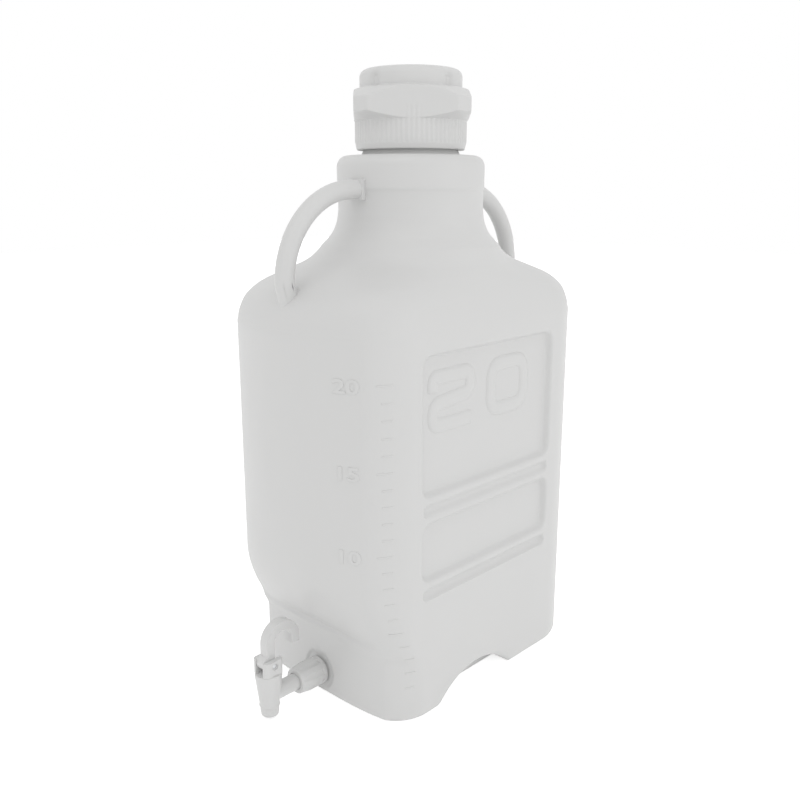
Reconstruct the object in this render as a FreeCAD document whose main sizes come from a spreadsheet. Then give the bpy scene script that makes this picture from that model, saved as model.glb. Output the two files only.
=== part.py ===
import FreeCAD, Part
import math
import os
import re
import Sketcher

# Twenty-litre dispensing carboy with a screw cap, two arched handles and a lever tap.
# Millimetres.  +Z is up, the floor is z = 0 and the neck's axis is the Z axis.
# The tap is on the -Y end, the moulded panels are on the two X sides.

doc = FreeCAD.newDocument("dispensing_carboy")
sheet = doc.addObject("Spreadsheet::Sheet", "sizes")

SIZES = [
    # body of the bottle
    ("body_half_width", 105.0),      # flat sides, at x = +- this
    ("body_half_length", 170.0),     # crown of the two bulged ends
    ("end_bulge_radius", 175.0),
    ("corner_radius", 22.0),
    ("wall", 3.0),
    ("base_wall", 4.0),
    ("shoulder_start", 363.0),
    ("shoulder_circle_height", 431.0),
    ("shoulder_circle_radius", 85.5),
    ("collar_foot_height", 463.0),
    ("collar_radius", 69.8),
    ("collar_step_height", 481.5),
    ("collar_step", 0.8),
    ("collar_top", 513.0),
    ("collar_round", 10.0),
    ("foot_band_top", 37.0),         # the shell is kept in six bands, one above the other
    ("lower_band_top", 121.0),
    ("collar_band_bottom", 467.0),
    # neck and cap
    ("neck_radius", 42.5),
    ("neck_bore_radius", 38.5),
    ("neck_top", 579.0),
    ("thread_crest", 2.5),           # how far the thread stands out of the neck
    ("thread_clearance", 0.6),
    ("liner_thickness", 2.5),
    ("liner_clearance", 0.5),
    ("cap_bottom", 518.0),
    ("cap_rim_height", 7.0),
    ("cap_rim_radius", 51.5),
    ("cap_skirt_radius", 53.0),
    ("cap_skirt_top", 550.0),
    ("cap_lug_apothem", 54.0),
    ("cap_lug_corner_reach", 66.5),
    ("cap_lug_bottom", 550.2),
    ("cap_lug_top", 564.5),
    ("cap_lug_crest", 574.0),        # where the upper cone meets the crown
    ("cap_crown_radius", 48.2),
    ("cap_crown_round", 6.0),
    ("cap_top", 590.0),
    ("cap_flute_radius", 16.0),
    ("cap_flute_depth", 2.0),
    ("knurl_count", 72.0),
    ("knurl_radius", 1.0),
    # handles
    ("handle_radius", 8.6),
    ("handle_bend_radius", 80.0),
    ("handle_height", 482.0),        # centre line where it leaves the collar
    ("handle_end_inset", 11.5),      # centre line, in from the crown of the body's end
    ("handle_block_width", 18.5),
    ("handle_block_height", 18.5),
    ("handle_block_depth", 9.0),
    # niche for the tap, grips under the base, panels and ribs on the sides
    ("niche_wall", 130.0),           # flat wall behind the tap, at y = - this
    ("niche_height", 76.0),          # where the sloping roof meets that wall
    ("niche_roof_slope", 0.96),
    ("niche_corner_radius", 42.0),
    ("grip_half_span", 56.0),
    ("grip_height", 24.0),
    ("grip_depth", 24.0),
    ("grip_centre", -13.0),
    ("panel_depth", 4.5),
    ("panel_half_length", 95.0),
    ("panel_corner", 10.0),
    ("label_panel_bottom", 218.0),
    ("label_panel_top", 344.0),
    ("blank_panel_bottom", 137.0),
    ("blank_panel_top", 191.0),
    ("rib_groove_radius", 6.0),
    ("rib_groove_depth", 2.0),
    ("upper_rib_height", 204.5),
    ("lower_rib_height", 123.5),
    # outlet in the niche wall and the tap on it
    ("tap_height", 24.0),            # axis of the outlet and the tap's shank
    ("tap_reach", 192.0),            # vertical axis of the tap's barrel, at y = - this
    ("outlet_recess_radius", 19.0),
    ("outlet_recess_depth", 1.5),
    ("outlet_radius", 11.0),
    ("outlet_bore_radius", 8.0),
    ("outlet_end", 141.0),
    ("gasket_thickness", 1.5),
    ("nut_clearance", 0.3),
    ("nut_radius", 14.0),
    ("nut_nose_radius", 12.6),
    ("nut_front", 161.0),
    ("nut_gap", 1.5),
    ("nut_flute_radius", 4.0),
    ("nut_flute_depth", 1.6),
    ("nut_flutes", 8.0),
    ("ring_thickness", 2.0),
    ("ring_radius", 10.8),
    ("ring_gap_angle", 40.0),
    ("shank_radius", 8.0),
    ("shank_groove_radius", 7.0),
    ("shank_bore_radius", 5.5),
    ("shank_land", 2.5),             # shank left between its end and the groove
    ("spout_bottom", 4.3),
    ("spout_tip_radius", 8.3),
    ("spout_bore_radius", 6.4),
    ("spout_round", 1.0),
    ("lower_bead_height", 8.6),
    ("upper_bead_height", 15.0),
    ("bead", 0.6),
    ("barrel_foot_radius", 9.4),
    ("barrel_top_radius", 12.8),
    ("barrel_top", 48.0),
    ("seat_bottom", 15.5),
    ("seat_top", 18.0),
    ("seat_bore_radius", 4.2),
    ("chamber_radius", 7.8),
    ("bonnet_bore_bottom", 38.0),
    ("bonnet_radius", 9.7),
    ("head_half_width", 11.0),
    ("head_half_depth", 10.5),
    ("head_corner", 5.0),
    ("head_top", 62.2),
    ("lever_width", 10.0),
    ("lever_side_clearance", 0.3),
    ("lever_thickness", 9.0),
    ("lever_bend_radius", 14.6),     # centre line of the hook
    ("lever_bend_height", 76.0),     # centre of the hook
    ("lever_tip_drop", 7.0),
    ("pin_height", 57.2),
    ("pin_radius", 2.3),
    ("pin_running_clearance", 0.05),
    ("pin_recess", 1.2),
    ("pin_recess_radius", 3.3),
    ("cam_radius", 7.0),
    ("cam_offset", 3.0),
    ("cam_angle", 35.0),             # the offset starts this far above level
    ("cam_clearance", 0.2),
    ("slot_floor_clearance", 0.3),
    ("stem_radius", 2.0),
    ("stem_running_clearance", 0.05),
    ("button_radius", 3.5),
    ("button_thickness", 1.5),
    ("button_pocket_clearance", 0.5),
    ("stem_seal_bottom", 41.0),
    ("stem_seal_section", 1.0),      # radius of the ring's round section
    ("bonnet_seal_section", 0.8),
    ("seat_clearance", 0.05),
    ("poppet_radius", 5.6),
    ("poppet_thickness", 3.0),
    ("retainer_bottom", 33.0),
    ("retainer_thickness", 1.2),
    ("retainer_radius", 6.6),
    ("spring_radius", 5.6),
    ("spring_wire_radius", 0.45),
    ("spring_turns", 5.0),
]

for row, (alias, value) in enumerate(SIZES, start=1):
    sheet.set(f"A{row}", alias.replace("_", " "))
    sheet.set(f"B{row}", str(value))
    sheet.setAlias(f"B{row}", alias)
doc.recompute()

NAMES = {alias for alias, _ in SIZES}


def size(text):
    """The value of a sum over the sheet's names."""
    return float(sheet.evalExpression(text))


def cells(text):
    """The same sum, written the way another object of the document refers to the sheet."""
    return re.sub(r"[a-z]\w*", lambda word: "sizes." + word[0] if word[0] in NAMES else word[0], text)


def bind(item, **sums):
    """Binds properties such as Radius or Placement.Base.z (written Placement_Base_z) to the sheet."""
    for name, text in sums.items():
        item.setExpression(name.replace("_", "."), cells(text))
    return item


# ---- bodies made from sketches -------------------------------------------------------------

def new_body(label, x="0", y="0", z="0"):
    body = doc.addObject("PartDesign::Body", label)
    body.Label = label
    return bind(body, Placement_Base_x=x, Placement_Base_y=y, Placement_Base_z=z)


def new_sketch(body, role):
    sketch = body.newObject("Sketcher::SketchObject", body.Label + "_sketch")
    plane = next(item for item in body.Origin.OriginFeatures if item.Role == role)
    sketch.AttachmentSupport = [(plane, "")]
    sketch.MapMode = "FlatFace"
    return sketch


def place_point(sketch, line, across, up):
    """Ties the start of a line to two sums, measured from the sketch's origin."""
    for kind, text, axis in (("DistanceX", across, -2), ("DistanceY", up, -1)):
        if text == "0":
            sketch.addConstraint(Sketcher.Constraint("PointOnObject", line, 1, axis))
            continue
        number = sketch.addConstraint(Sketcher.Constraint(kind, -1, 1, line, 1, size(text)))
        sketch.setExpression(f"Constraints[{number}]", cells(text))


def draw(sketch, corners):
    """A closed outline of straight lines through corners given as pairs of sums."""
    points = [FreeCAD.Vector(size(across), size(up), 0) for across, up in corners]
    count = len(corners)
    for number in range(count):
        sketch.addGeometry(Part.LineSegment(points[number], points[(number + 1) % count]), False)
    for number in range(count):
        following = (number + 1) % count
        sketch.addConstraint(Sketcher.Constraint("Coincident", number, 2, following, 1))
    for number, (across, up) in enumerate(corners):
        place_point(sketch, number, across, up)
    return sketch


def turned(body, corners, plane="XZ_Plane", axis="V_Axis", kind="Revolution"):
    """Adds (or, as a Groove, cuts) the outline turned a full circle."""
    sketch = draw(new_sketch(body, plane), corners)
    feature = body.newObject("PartDesign::" + kind, body.Label + "_" + kind.lower())
    feature.Profile = sketch
    feature.ReferenceAxis = (sketch, [axis])
    feature.Angle = 360
    return feature


def padded(body, corners, length, plane="XY_Plane", both_ways=False):
    """Adds the outline pushed out square to its plane."""
    sketch = draw(new_sketch(body, plane), corners)
    feature = body.newObject("PartDesign::Pad", body.Label + "_pad")
    feature.Profile = sketch
    feature.Midplane = both_ways
    return bind(feature, Length=length)


def rounded(body, base, radius, chosen):
    """Rounds the edges of the last feature that chosen(edge) picks."""
    doc.recompute()
    names = [f"Edge{number}" for number, edge in enumerate(base.Shape.Edges, start=1) if chosen(edge)]
    feature = body.newObject("PartDesign::Fillet", body.Label + "_fillet")
    feature.Base = (base, names)
    return bind(feature, Radius=radius)


def runs_along(edge, axis):
    """True for a straight edge along one of the vectors X, Y or Z."""
    if not isinstance(edge.Curve, Part.Line):
        return False
    return abs(edge.Curve.Direction.dot(axis)) > 0.999


X_AXIS = FreeCAD.Vector(1, 0, 0)
Y_AXIS = FreeCAD.Vector(0, 1, 0)
Z_AXIS = FreeCAD.Vector(0, 0, 1)
ALONG_X = FreeCAD.Rotation(Y_AXIS, 90)   # turns a primitive's own Z axis to +X
ALONG_Y = FreeCAD.Rotation(X_AXIS, -90)  # turns it to +Y


# ---- primitives and booleans ---------------------------------------------------------------

def primitive(kind, label, rotation=None, x="0", y="0", z="0", **sums):
    """A Part primitive; its place and its other sizes are sums."""
    item = doc.addObject("Part::" + kind, label)
    item.Label = label
    if rotation is not None:
        item.Placement = FreeCAD.Placement(FreeCAD.Vector(), rotation)
    bind(item, Placement_Base_x=x, Placement_Base_y=y, Placement_Base_z=z)
    return bind(item, **sums)


def joined(label, *items):
    result = doc.addObject("Part::MultiFuse", label)
    result.Label = label
    result.Shapes = list(items)
    return result


def cut(label, base, tool):
    result = doc.addObject("Part::Cut", label)
    result.Label = label
    result.Base = base
    result.Tool = tool
    return result


def shared(label, base, tool):
    result = doc.addObject("Part::Common", label)
    result.Label = label
    result.Base = base
    result.Tool = tool
    return result


def shape_feature(label, shape):
    """A feature that holds a shape made from the sheet's values in this file."""
    item = doc.addObject("Part::Feature", label)
    item.Label = label
    item.Shape = shape
    return item


# ---- the bottle's blown form ---------------------------------------------------------------

# Each pair is a height above the shoulder's start and how far the outline has gone from the
# body's plan (0) to the shoulder's circle (1), both as shares.
SHOULDER = [(0.0, 0.0), (0.18, 0.035), (0.38, 0.13), (0.55, 0.32), (0.67, 0.56), (0.78, 0.78), (0.9, 0.92)]
# The concave sweep up to the collar: shares of the height and of the radius still to lose.
COLLAR_SWEEP = [(0.0, 0.0), (0.25, 0.5), (0.6, 0.86), (1.0, 1.0)]
RING_POINTS = 160


def blend(start, end, share):
    return start + (end - start) * share


def plan_points(inset):
    """Points round the body's plan: flat sides, two bulged ends, four rounded corners."""
    half_width = size("body_half_width") - inset
    half_length = size("body_half_length") - inset
    end = size("end_bulge_radius") - inset
    corner = size("corner_radius") - inset
    across = (half_width - corner) / (end - corner)   # cosine of where the bulge meets the corner
    up = math.sqrt(1 - across ** 2)
    corner_x = half_width - corner
    corner_y = half_length - end + (end - corner) * up
    middle = FreeCAD.Vector(across, 1 + up, 0).normalize()
    quarter = [
        (half_width, corner_y),
        (corner_x + corner * middle.y, corner_y + corner * middle.x),
        (corner_x + corner * across, corner_y + corner * up),
        (0, half_length),
    ]
    side, bend, bulge, tip = quarter
    edges = []
    for x_sign, y_sign in ((1, 1), (-1, -1)):
        def at(point, mirror=1):
            return FreeCAD.Vector(point[0] * x_sign * mirror, point[1] * y_sign, 0)

        edges.append(Part.Arc(at(side), at(bend), at(bulge)).toShape())
        edges.append(Part.Arc(at(bulge), at(tip), at(bulge, -1)).toShape())
        edges.append(Part.Arc(at(bulge, -1), at(bend, -1), at(side, -1)).toShape())
        low_side = FreeCAD.Vector(-half_width * x_sign, -corner_y * y_sign, 0)
        edges.append(Part.LineSegment(at(side, -1), low_side).toShape())
    return Part.Wire(edges).discretize(RING_POINTS + 1)[:-1]


def ring(height, radius, share, inset):
    """A smooth closed outline at one height, part of the way from the plan to a circle."""
    points = []
    for point in plan_points(inset):
        on_circle = FreeCAD.Vector(point.x, point.y, 0).normalize() * (radius - inset)
        points.append(point + (on_circle - point) * share + Z_AXIS * height)
    curve = Part.BSplineCurve()
    curve.interpolate(Points=points, PeriodicFlag=True)
    return Part.Wire([curve.toShape()])


def blown_form(label, bottom, inset):
    """The body and shoulder as one solid, from bottom up to the collar's foot."""
    start = size("shoulder_start")
    circle_height = size("shoulder_circle_height")
    foot = size("collar_foot_height")
    circle = size("shoulder_circle_radius")
    rings = [
        ring(blend(start, circle_height, rise) - inset * share, circle, share, inset)
        for rise, share in SHOULDER
    ]
    for rise, share in COLLAR_SWEEP:
        radius = blend(circle, size("collar_radius"), share)
        rings.append(ring(blend(circle_height, foot, rise) - inset * (1 - rise), radius, 1.0, inset))
    lower = Part.Face(ring(bottom, circle, 0.0, inset)).extrude(Z_AXIS * (start - bottom))
    shoulder = Part.makeLoft(rings, True, False)
    return shape_feature(label, lower.fuse(shoulder))


def niche_cutter(label, inset):
    """What the tap's niche takes from the form: a wedge in front of a rounded block."""
    wall_line = f"-niche_wall + {inset}"
    roof = f"niche_height + {inset} * 1.4"
    wedge = new_body(label + "_wedge", x="-body_half_width - 5")
    reach = "body_half_length + 10"
    lift = "niche_roof_slope"
    padded(wedge, [
        (f"-({reach})", "-10"),
        (f"-({reach})", f"{roof} + ({reach} - niche_wall) * {lift}"),
        (f"{wall_line} + niche_corner_radius + 5", f"{roof} - (niche_corner_radius + 5) * {lift}"),
        (f"{wall_line} + niche_corner_radius + 5", "-10"),
    ], "2 * body_half_width + 10", plane="YZ_Plane")
    block = new_body(label + "_block", z="-20")
    edge = f"body_half_width - {inset}"
    base = padded(block, [
        (f"-({edge})", wall_line),
        (edge, wall_line),
        (edge, "body_half_length"),
        (f"-({edge})", "body_half_length"),
    ], "niche_height + 120")
    front = size(wall_line)
    rounded(block, base, f"niche_corner_radius - {inset}",
            lambda one: runs_along(one, Z_AXIS) and one.CenterOfMass.y < front + 1)
    return cut(label, wedge, block)


def grip_cutter(label, x_sign, inset):
    """One arched grip under a side of the base: a cylinder lying along X."""
    arch = f"((grip_half_span ^ 2 + grip_height ^ 2) / (2 * grip_height))"
    start = f"body_half_width - grip_depth - {inset}"
    if x_sign < 0:
        start = f"-({start}) - grip_depth - 20"
    return primitive("Cylinder", label, ALONG_X, x=start, y="grip_centre", z=f"grip_height - {arch}",
                     Radius=f"{arch} + {inset}", Height="grip_depth + 20")


def panel_cutter(label, x_sign, bottom, top, inset):
    """One shallow panel with rounded corners in a side."""
    depth = f"body_half_width - panel_depth - {inset}"
    body = new_body(label, x=depth if x_sign > 0 else f"-({depth}) - 20")
    base = padded(body, [
        (f"-panel_half_length - {inset}", f"{bottom} - {inset}"),
        (f"panel_half_length + {inset}", f"{bottom} - {inset}"),
        (f"panel_half_length + {inset}", f"{top} + {inset}"),
        (f"-panel_half_length - {inset}", f"{top} + {inset}"),
    ], "20", plane="YZ_Plane")
    rounded(body, base, f"panel_corner + {inset}", lambda one: runs_along(one, X_AXIS))
    return body


def rib_cutter(label, x_sign, height, inset):
    """One long groove with round ends across a side."""
    away = f"body_half_width - rib_groove_depth + rib_groove_radius"
    side = away if x_sign > 0 else f"-({away})"
    reach = "(panel_half_length - rib_groove_radius)"
    radius = f"rib_groove_radius + {inset}"
    bar = primitive("Cylinder", label + "_bar", ALONG_Y, x=side, y=f"-{reach}", z=height,
                    Radius=radius, Height=f"2 * {reach}")
    ends = [
        primitive("Sphere", f"{label}_end_{sign}", x=side, y=f"{sign} * {reach}", z=height, Radius=radius)
        for sign in (-1, 1)
    ]
    return joined(label, bar, *ends)


def side_cutters(prefix, inset):
    """Everything that is moulded into the bottle's outside, moved in by inset."""
    cutters = [niche_cutter(prefix + "_niche", inset)]
    for side, x_sign in (("right", 1), ("left", -1)):
        name = f"{prefix}_{side}"
        cutters.append(grip_cutter(name + "_grip", x_sign, inset))
        cutters.append(panel_cutter(name + "_label_panel", x_sign,
                                    "label_panel_bottom", "label_panel_top", inset))
        cutters.append(panel_cutter(name + "_blank_panel", x_sign,
                                    "blank_panel_bottom", "blank_panel_top", inset))
        cutters.append(rib_cutter(name + "_upper_rib", x_sign, "upper_rib_height", inset))
        cutters.append(rib_cutter(name + "_lower_rib", x_sign, "lower_rib_height", inset))
    return cutters


# ---- bottle shell --------------------------------------------------------------------------

neck = new_body("neck_form")
neck_turn = turned(neck, [
    ("0", "collar_foot_height"),
    ("collar_radius", "collar_foot_height"),
    ("collar_radius", "collar_step_height"),
    ("collar_radius + collar_step", "collar_step_height"),
    ("collar_radius + collar_step", "collar_top"),
    ("neck_radius", "collar_top"),
    ("neck_radius", "neck_top"),
    ("0", "neck_top"),
])
collar_rim = size("collar_radius + collar_step")
rounded(neck, neck_turn, "collar_round",
        lambda one: abs(one.BoundBox.ZMin - size("collar_top")) < 0.1
        and abs(one.BoundBox.XMax - collar_rim) < 0.1 and one.BoundBox.ZLength < 0.1)

neck_bore = new_body("neck_cavity")
turned(neck_bore, [
    ("0", "collar_foot_height"),
    ("collar_radius - wall", "collar_foot_height"),
    ("collar_radius - wall", "collar_top - wall - collar_round"),
    ("collar_radius - wall - collar_round", "collar_top - wall"),
    ("neck_bore_radius", "collar_top - wall"),
    ("neck_bore_radius", "neck_top + 5"),
    ("0", "neck_top + 5"),
])

outer_form = joined("outer_solid", blown_form("outer_form", 0.0, 0.0), neck)
inner_form = joined("inner_solid", blown_form("inner_form", size("base_wall"), size("wall")), neck_bore)
outer_cutters = joined("outer_cutters", *side_cutters("outer", "0"))
inner_cutters = joined("inner_cutters", *side_cutters("inner", "wall"))

# A boss inside the niche wall carries the outlet, so the shallow recess keeps its thickness.
outlet_boss = primitive("Cylinder", "outlet_boss", ALONG_Y, y="-niche_wall", z="tap_height",
                        Radius="outlet_recess_radius + wall", Height="outlet_recess_depth + wall")
outlet_recess = primitive("Cylinder", "outlet_recess", ALONG_Y, y="-niche_wall - 10", z="tap_height",
                          Radius="outlet_recess_radius", Height="outlet_recess_depth + 10")
outlet_tube = primitive("Cylinder", "outlet_tube", ALONG_Y, y="-outlet_end", z="tap_height",
                        Radius="outlet_radius", Height="outlet_end - niche_wall + outlet_recess_depth + 0.5")
outlet_bore = primitive("Cylinder", "outlet_bore", ALONG_Y, y="-outlet_end - 5", z="tap_height",
                        Radius="outlet_bore_radius",
                        Height="outlet_end + 5 - niche_wall + outlet_recess_depth + wall + 5")

cavity = cut("cavity", cut("cavity_moulded", inner_form, inner_cutters), outlet_boss)
moulded = cut("moulded_solid", outer_form, outer_cutters)
hollow = cut("hollow_bottle", cut("recessed_bottle", moulded, outlet_recess), cavity)
bottle_shell = cut("bottle_shell", joined("bottle_with_outlet", hollow, outlet_tube), outlet_bore)


def shell_band(label, bottom, top):
    """The part of the one moulded shell between two heights."""
    slab = primitive("Box", label + "_slab", x="-body_half_width - 20", y="-body_half_length - 20", z=bottom,
                     Length="2 * body_half_width + 40", Width="2 * body_half_length + 40",
                     Height=f"{top} - ({bottom})")
    return shared(label, bottle_shell, slab)


shell_band("bottle_foot", "-5", "foot_band_top")
shell_band("bottle_lower_walls", "foot_band_top", "lower_band_top")
shell_band("bottle_sides", "lower_band_top", "shoulder_start")
shell_band("bottle_shoulder", "shoulder_start", "collar_band_bottom")
shell_band("bottle_collar", "collar_band_bottom", "collar_top + 1")
shell_band("bottle_neck", "collar_top + 1", "neck_top + 5")


# ---- handles -------------------------------------------------------------------------------

def handle(label, side):
    """A round bar bent from the collar down to the shoulder; side is -1 in front, 1 behind."""
    reach = "(body_half_length - handle_end_inset)"
    straight = "handle_height - handle_bend_radius"
    bend = primitive("Torus", label + "_bend",
                     FreeCAD.Rotation(Y_AXIS, 90), y=f"{side} * ({reach} - handle_bend_radius)",
                     z=straight, Radius1="handle_bend_radius", Radius2="handle_radius")
    quarter = primitive("Box", label + "_quarter", x="-handle_radius - 5",
                        y=f"{reach} - handle_bend_radius" if side > 0 else f"-{reach} - 20",
                        z=straight, Length="2 * handle_radius + 10", Width="handle_bend_radius + 20",
                        Height="handle_bend_radius + 20")
    upright = primitive("Cylinder", label + "_upright", y=f"{side} * {reach}",
                        z="shoulder_start", Radius="handle_radius", Height=f"{straight} - shoulder_start")
    root_start = "collar_radius - 5"
    root_length = f"{reach} - handle_bend_radius - collar_radius + 5"
    root = primitive("Cylinder", label + "_root", ALONG_Y,
                     y=root_start if side > 0 else f"-({root_start}) - ({root_length})",
                     z="handle_height", Radius="handle_radius", Height=root_length)
    block = primitive("Box", label + "_block", x="-handle_block_width / 2",
                      y=root_start if side > 0 else f"-({root_start}) - handle_block_depth",
                      z="handle_height - handle_block_height / 2",
                      Length="handle_block_width", Width="handle_block_depth", Height="handle_block_height")
    bar = joined(label + "_bar", shared(label + "_arc", bend, quarter), upright, root, block)
    return cut(label, bar, outer_form)


front_handle = handle("front_handle", -1)
rear_handle = handle("rear_handle", 1)


# ---- screw cap and its liner ---------------------------------------------------------------

cap_bore = "(neck_radius + thread_crest + thread_clearance)"
cap_ceiling = "(neck_top + liner_thickness)"
cap_turned = new_body("cap_turned")
cap_outline = turned(cap_turned, [
    (cap_bore, "cap_bottom"),
    ("cap_rim_radius", "cap_bottom"),
    ("cap_rim_radius", "cap_bottom + cap_rim_height - 1"),
    ("cap_skirt_radius", "cap_bottom + cap_rim_height"),
    ("cap_skirt_radius", "cap_skirt_top"),
    ("cap_crown_radius", "cap_lug_crest"),
    ("cap_crown_radius - 0.8", "cap_top"),
    ("0", "cap_top"),
    ("0", cap_ceiling),
    (cap_bore, cap_ceiling),
])
rounded(cap_turned, cap_outline, "cap_crown_round",
        lambda one: abs(one.BoundBox.ZMin - size("cap_top")) < 0.1 and one.BoundBox.ZLength < 0.1)

# The lug is a square nut with cut corners, trimmed above and below by two cones.
lug_blank = new_body("lug_blank")
lug_blank.Placement = FreeCAD.Placement(FreeCAD.Vector(), FreeCAD.Rotation(Z_AXIS, 45))
lug_cut = "(1.41421356 * cap_lug_corner_reach - cap_lug_apothem)"
lug_corners = [
    (f"{along * sign} * {first}", f"{across * sign} * {second}")
    for sign, along, across, first, second in (
        (1, 1, -1, "cap_lug_apothem", lug_cut), (1, 1, 1, "cap_lug_apothem", lug_cut),
        (1, 1, 1, lug_cut, "cap_lug_apothem"), (1, -1, 1, lug_cut, "cap_lug_apothem"),
        (-1, 1, -1, "cap_lug_apothem", lug_cut), (-1, 1, 1, "cap_lug_apothem", lug_cut),
        (-1, 1, 1, lug_cut, "cap_lug_apothem"), (-1, -1, 1, lug_cut, "cap_lug_apothem"),
    )
]
padded(lug_blank, lug_corners, "cap_top")
lug_cones = new_body("lug_cones")
turned(lug_cones, [
    (cap_bore, "cap_skirt_top - 4"),
    ("cap_skirt_radius - 1", "cap_skirt_top - 4"),
    ("cap_lug_corner_reach + 1", "cap_lug_bottom"),
    ("cap_lug_corner_reach + 1", "cap_lug_top"),
    ("cap_crown_radius", "cap_lug_crest + 3"),
    (cap_bore, "cap_lug_crest + 3"),
])
cap_lug = shared("cap_lug", lug_blank, lug_cones)


def round_row(label, count, radius, distance, bottom, height, first_angle=0.0):
    """Upright cylinders spaced evenly round the Z axis, as one cutter."""
    items = []
    for number in range(count):
        angle = f"{first_angle + 360 * number / count}"
        items.append(primitive("Cylinder", f"{label}_{number}", x=f"({distance}) * cos({angle})",
                               y=f"({distance}) * sin({angle})", z=bottom, Radius=radius, Height=height))
    row = doc.addObject("Part::Compound", label)
    row.Links = items
    return row


crown_flutes = round_row("crown_flutes", 4, "cap_flute_radius",
                         "cap_crown_radius + cap_flute_radius - cap_flute_depth", "cap_lug_crest + 2", "40")
knurl = round_row("knurl", int(size("knurl_count")), "knurl_radius",
                  "cap_skirt_radius + knurl_radius * 0.35", "cap_bottom + cap_rim_height",
                  "cap_lug_bottom - cap_bottom - cap_rim_height")
cap_plain = joined("cap_plain", cap_turned, cap_lug)
cap_shell = cut("cap_shell", cut("cap_fluted", cap_plain, crown_flutes), knurl)

cap_liner = new_body("cap_liner")
turned(cap_liner, [
    ("0", "neck_top"),
    (f"{cap_bore} - liner_clearance", "neck_top"),
    (f"{cap_bore} - liner_clearance", "neck_top + liner_thickness"),
    ("0", "neck_top + liner_thickness"),
])


# ---- fittings on the outlet ----------------------------------------------------------------

def turned_ring(label, inner, outer, start, length):
    """A plain ring round the outlet's axis; start is its end nearer the bottle, as a distance."""
    body = new_body(label, z="tap_height")
    turned(body, [
        (f"-({start})", inner),
        (f"-({start})", outer),
        (f"-({start}) - {length}", outer),
        (f"-({start}) - {length}", inner),
    ], plane="YZ_Plane", axis="H_Axis")
    return body


shank_end = "(outlet_end + gasket_thickness)"
groove_start = f"({shank_end} + shank_land)"
turned_ring("outlet_gasket", "shank_bore_radius", "ring_radius", "outlet_end", "gasket_thickness")

ring_blank = turned_ring("ring_blank", "shank_groove_radius", "ring_radius", groove_start, "ring_thickness")
ring_opening = primitive("Box", "ring_opening", x="-shank_radius * sin(ring_gap_angle / 2)",
                         y=f"-{groove_start} - ring_thickness - 1", z="tap_height",
                         Length="2 * shank_radius * sin(ring_gap_angle / 2)",
                         Width="ring_thickness + 2", Height="ring_radius + 1")
cut("nut_ring", ring_blank, ring_opening)

nut_blank = new_body("nut_blank", z="tap_height")
nut_back = "-(niche_wall + nut_gap)"
nut_step = f"-({groove_start} + ring_thickness)"
nut_bore = "outlet_radius + nut_clearance"
nut_nose_bore = "shank_radius + nut_clearance"
turned(nut_blank, [
    (nut_back, nut_bore),
    (nut_back, "nut_radius"),
    (f"{nut_step} - 2", "nut_radius"),
    ("-nut_front + 1", "nut_nose_radius"),
    ("-nut_front", "nut_nose_radius - 1"),
    ("-nut_front", nut_nose_bore),
    (nut_step, nut_nose_bore),
    (nut_step, nut_bore),
], plane="YZ_Plane", axis="H_Axis")
flutes = doc.addObject("Part::Compound", "nut_flute_row")
flute_list = []
for number in range(int(size("nut_flutes"))):
    turn_angle = f"{360 * (number + 0.5)} / nut_flutes"
    flute_distance = "(nut_radius + nut_flute_radius - nut_flute_depth)"
    flute_list.append(primitive(
        "Cylinder", f"nut_flute_{number}", ALONG_Y, x=f"{flute_distance} * cos({turn_angle})",
        y="-nut_front - 2", z=f"tap_height + {flute_distance} * sin({turn_angle})",
        Radius="nut_flute_radius", Height="nut_front - niche_wall - nut_gap - 2"))
flutes.Links = flute_list
cut("coupling_nut", nut_blank, flutes)


# ---- tap body ------------------------------------------------------------------------------

def tap_body_part(label, corners):
    """A piece turned about the tap's upright axis."""
    body = new_body(label, y="-tap_reach")
    turned(body, corners)
    return body


barrel = tap_body_part("barrel", [
    ("0", "spout_bottom"),
    ("spout_tip_radius - spout_round", "spout_bottom"),
    ("spout_tip_radius", "spout_bottom + spout_round"),
    ("spout_tip_radius", "lower_bead_height - 1"),
    ("spout_tip_radius + bead", "lower_bead_height"),
    ("barrel_foot_radius - bead", "upper_bead_height - 1.2"),
    ("barrel_foot_radius + bead", "upper_bead_height"),
    ("barrel_foot_radius", "upper_bead_height + 1.5"),
    ("barrel_top_radius", "barrel_top - 3"),
    ("barrel_top_radius", "barrel_top - 0.6"),
    ("barrel_top_radius - 0.6", "barrel_top"),
    ("0", "barrel_top"),
])
tap_hollow = tap_body_part("tap_hollow", [
    ("0", "spout_bottom - 5"),
    ("spout_bore_radius", "spout_bottom - 5"),
    ("spout_bore_radius", "seat_bottom"),
    ("seat_bore_radius", "seat_bottom"),
    ("seat_bore_radius", "seat_top"),
    ("chamber_radius", "seat_top"),
    ("chamber_radius", "bonnet_bore_bottom"),
    ("bonnet_radius", "bonnet_bore_bottom"),
    ("bonnet_radius", "barrel_top + 5"),
    ("0", "barrel_top + 5"),
])
shank = new_body("shank", z="tap_height")
turned(shank, [
    (f"-{shank_end}", "0"),
    (f"-{shank_end}", "shank_radius"),
    (f"-{groove_start}", "shank_radius"),
    (f"-{groove_start}", "shank_groove_radius"),
    (f"-{groove_start} - ring_thickness", "shank_groove_radius"),
    (f"-{groove_start} - ring_thickness", "shank_radius"),
    ("-tap_reach", "shank_radius"),
    ("-tap_reach", "0"),
], plane="YZ_Plane", axis="H_Axis")
shank_bore = primitive("Cylinder", "shank_bore", ALONG_Y, y="-tap_reach", z="tap_height",
                       Radius="shank_bore_radius", Height=f"tap_reach - {shank_end} + 5")
cut("tap_body", joined("tap_solid", barrel, shank), joined("tap_space", tap_hollow, shank_bore))


# ---- bonnet with its clevis, pin and seals -------------------------------------------------

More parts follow.
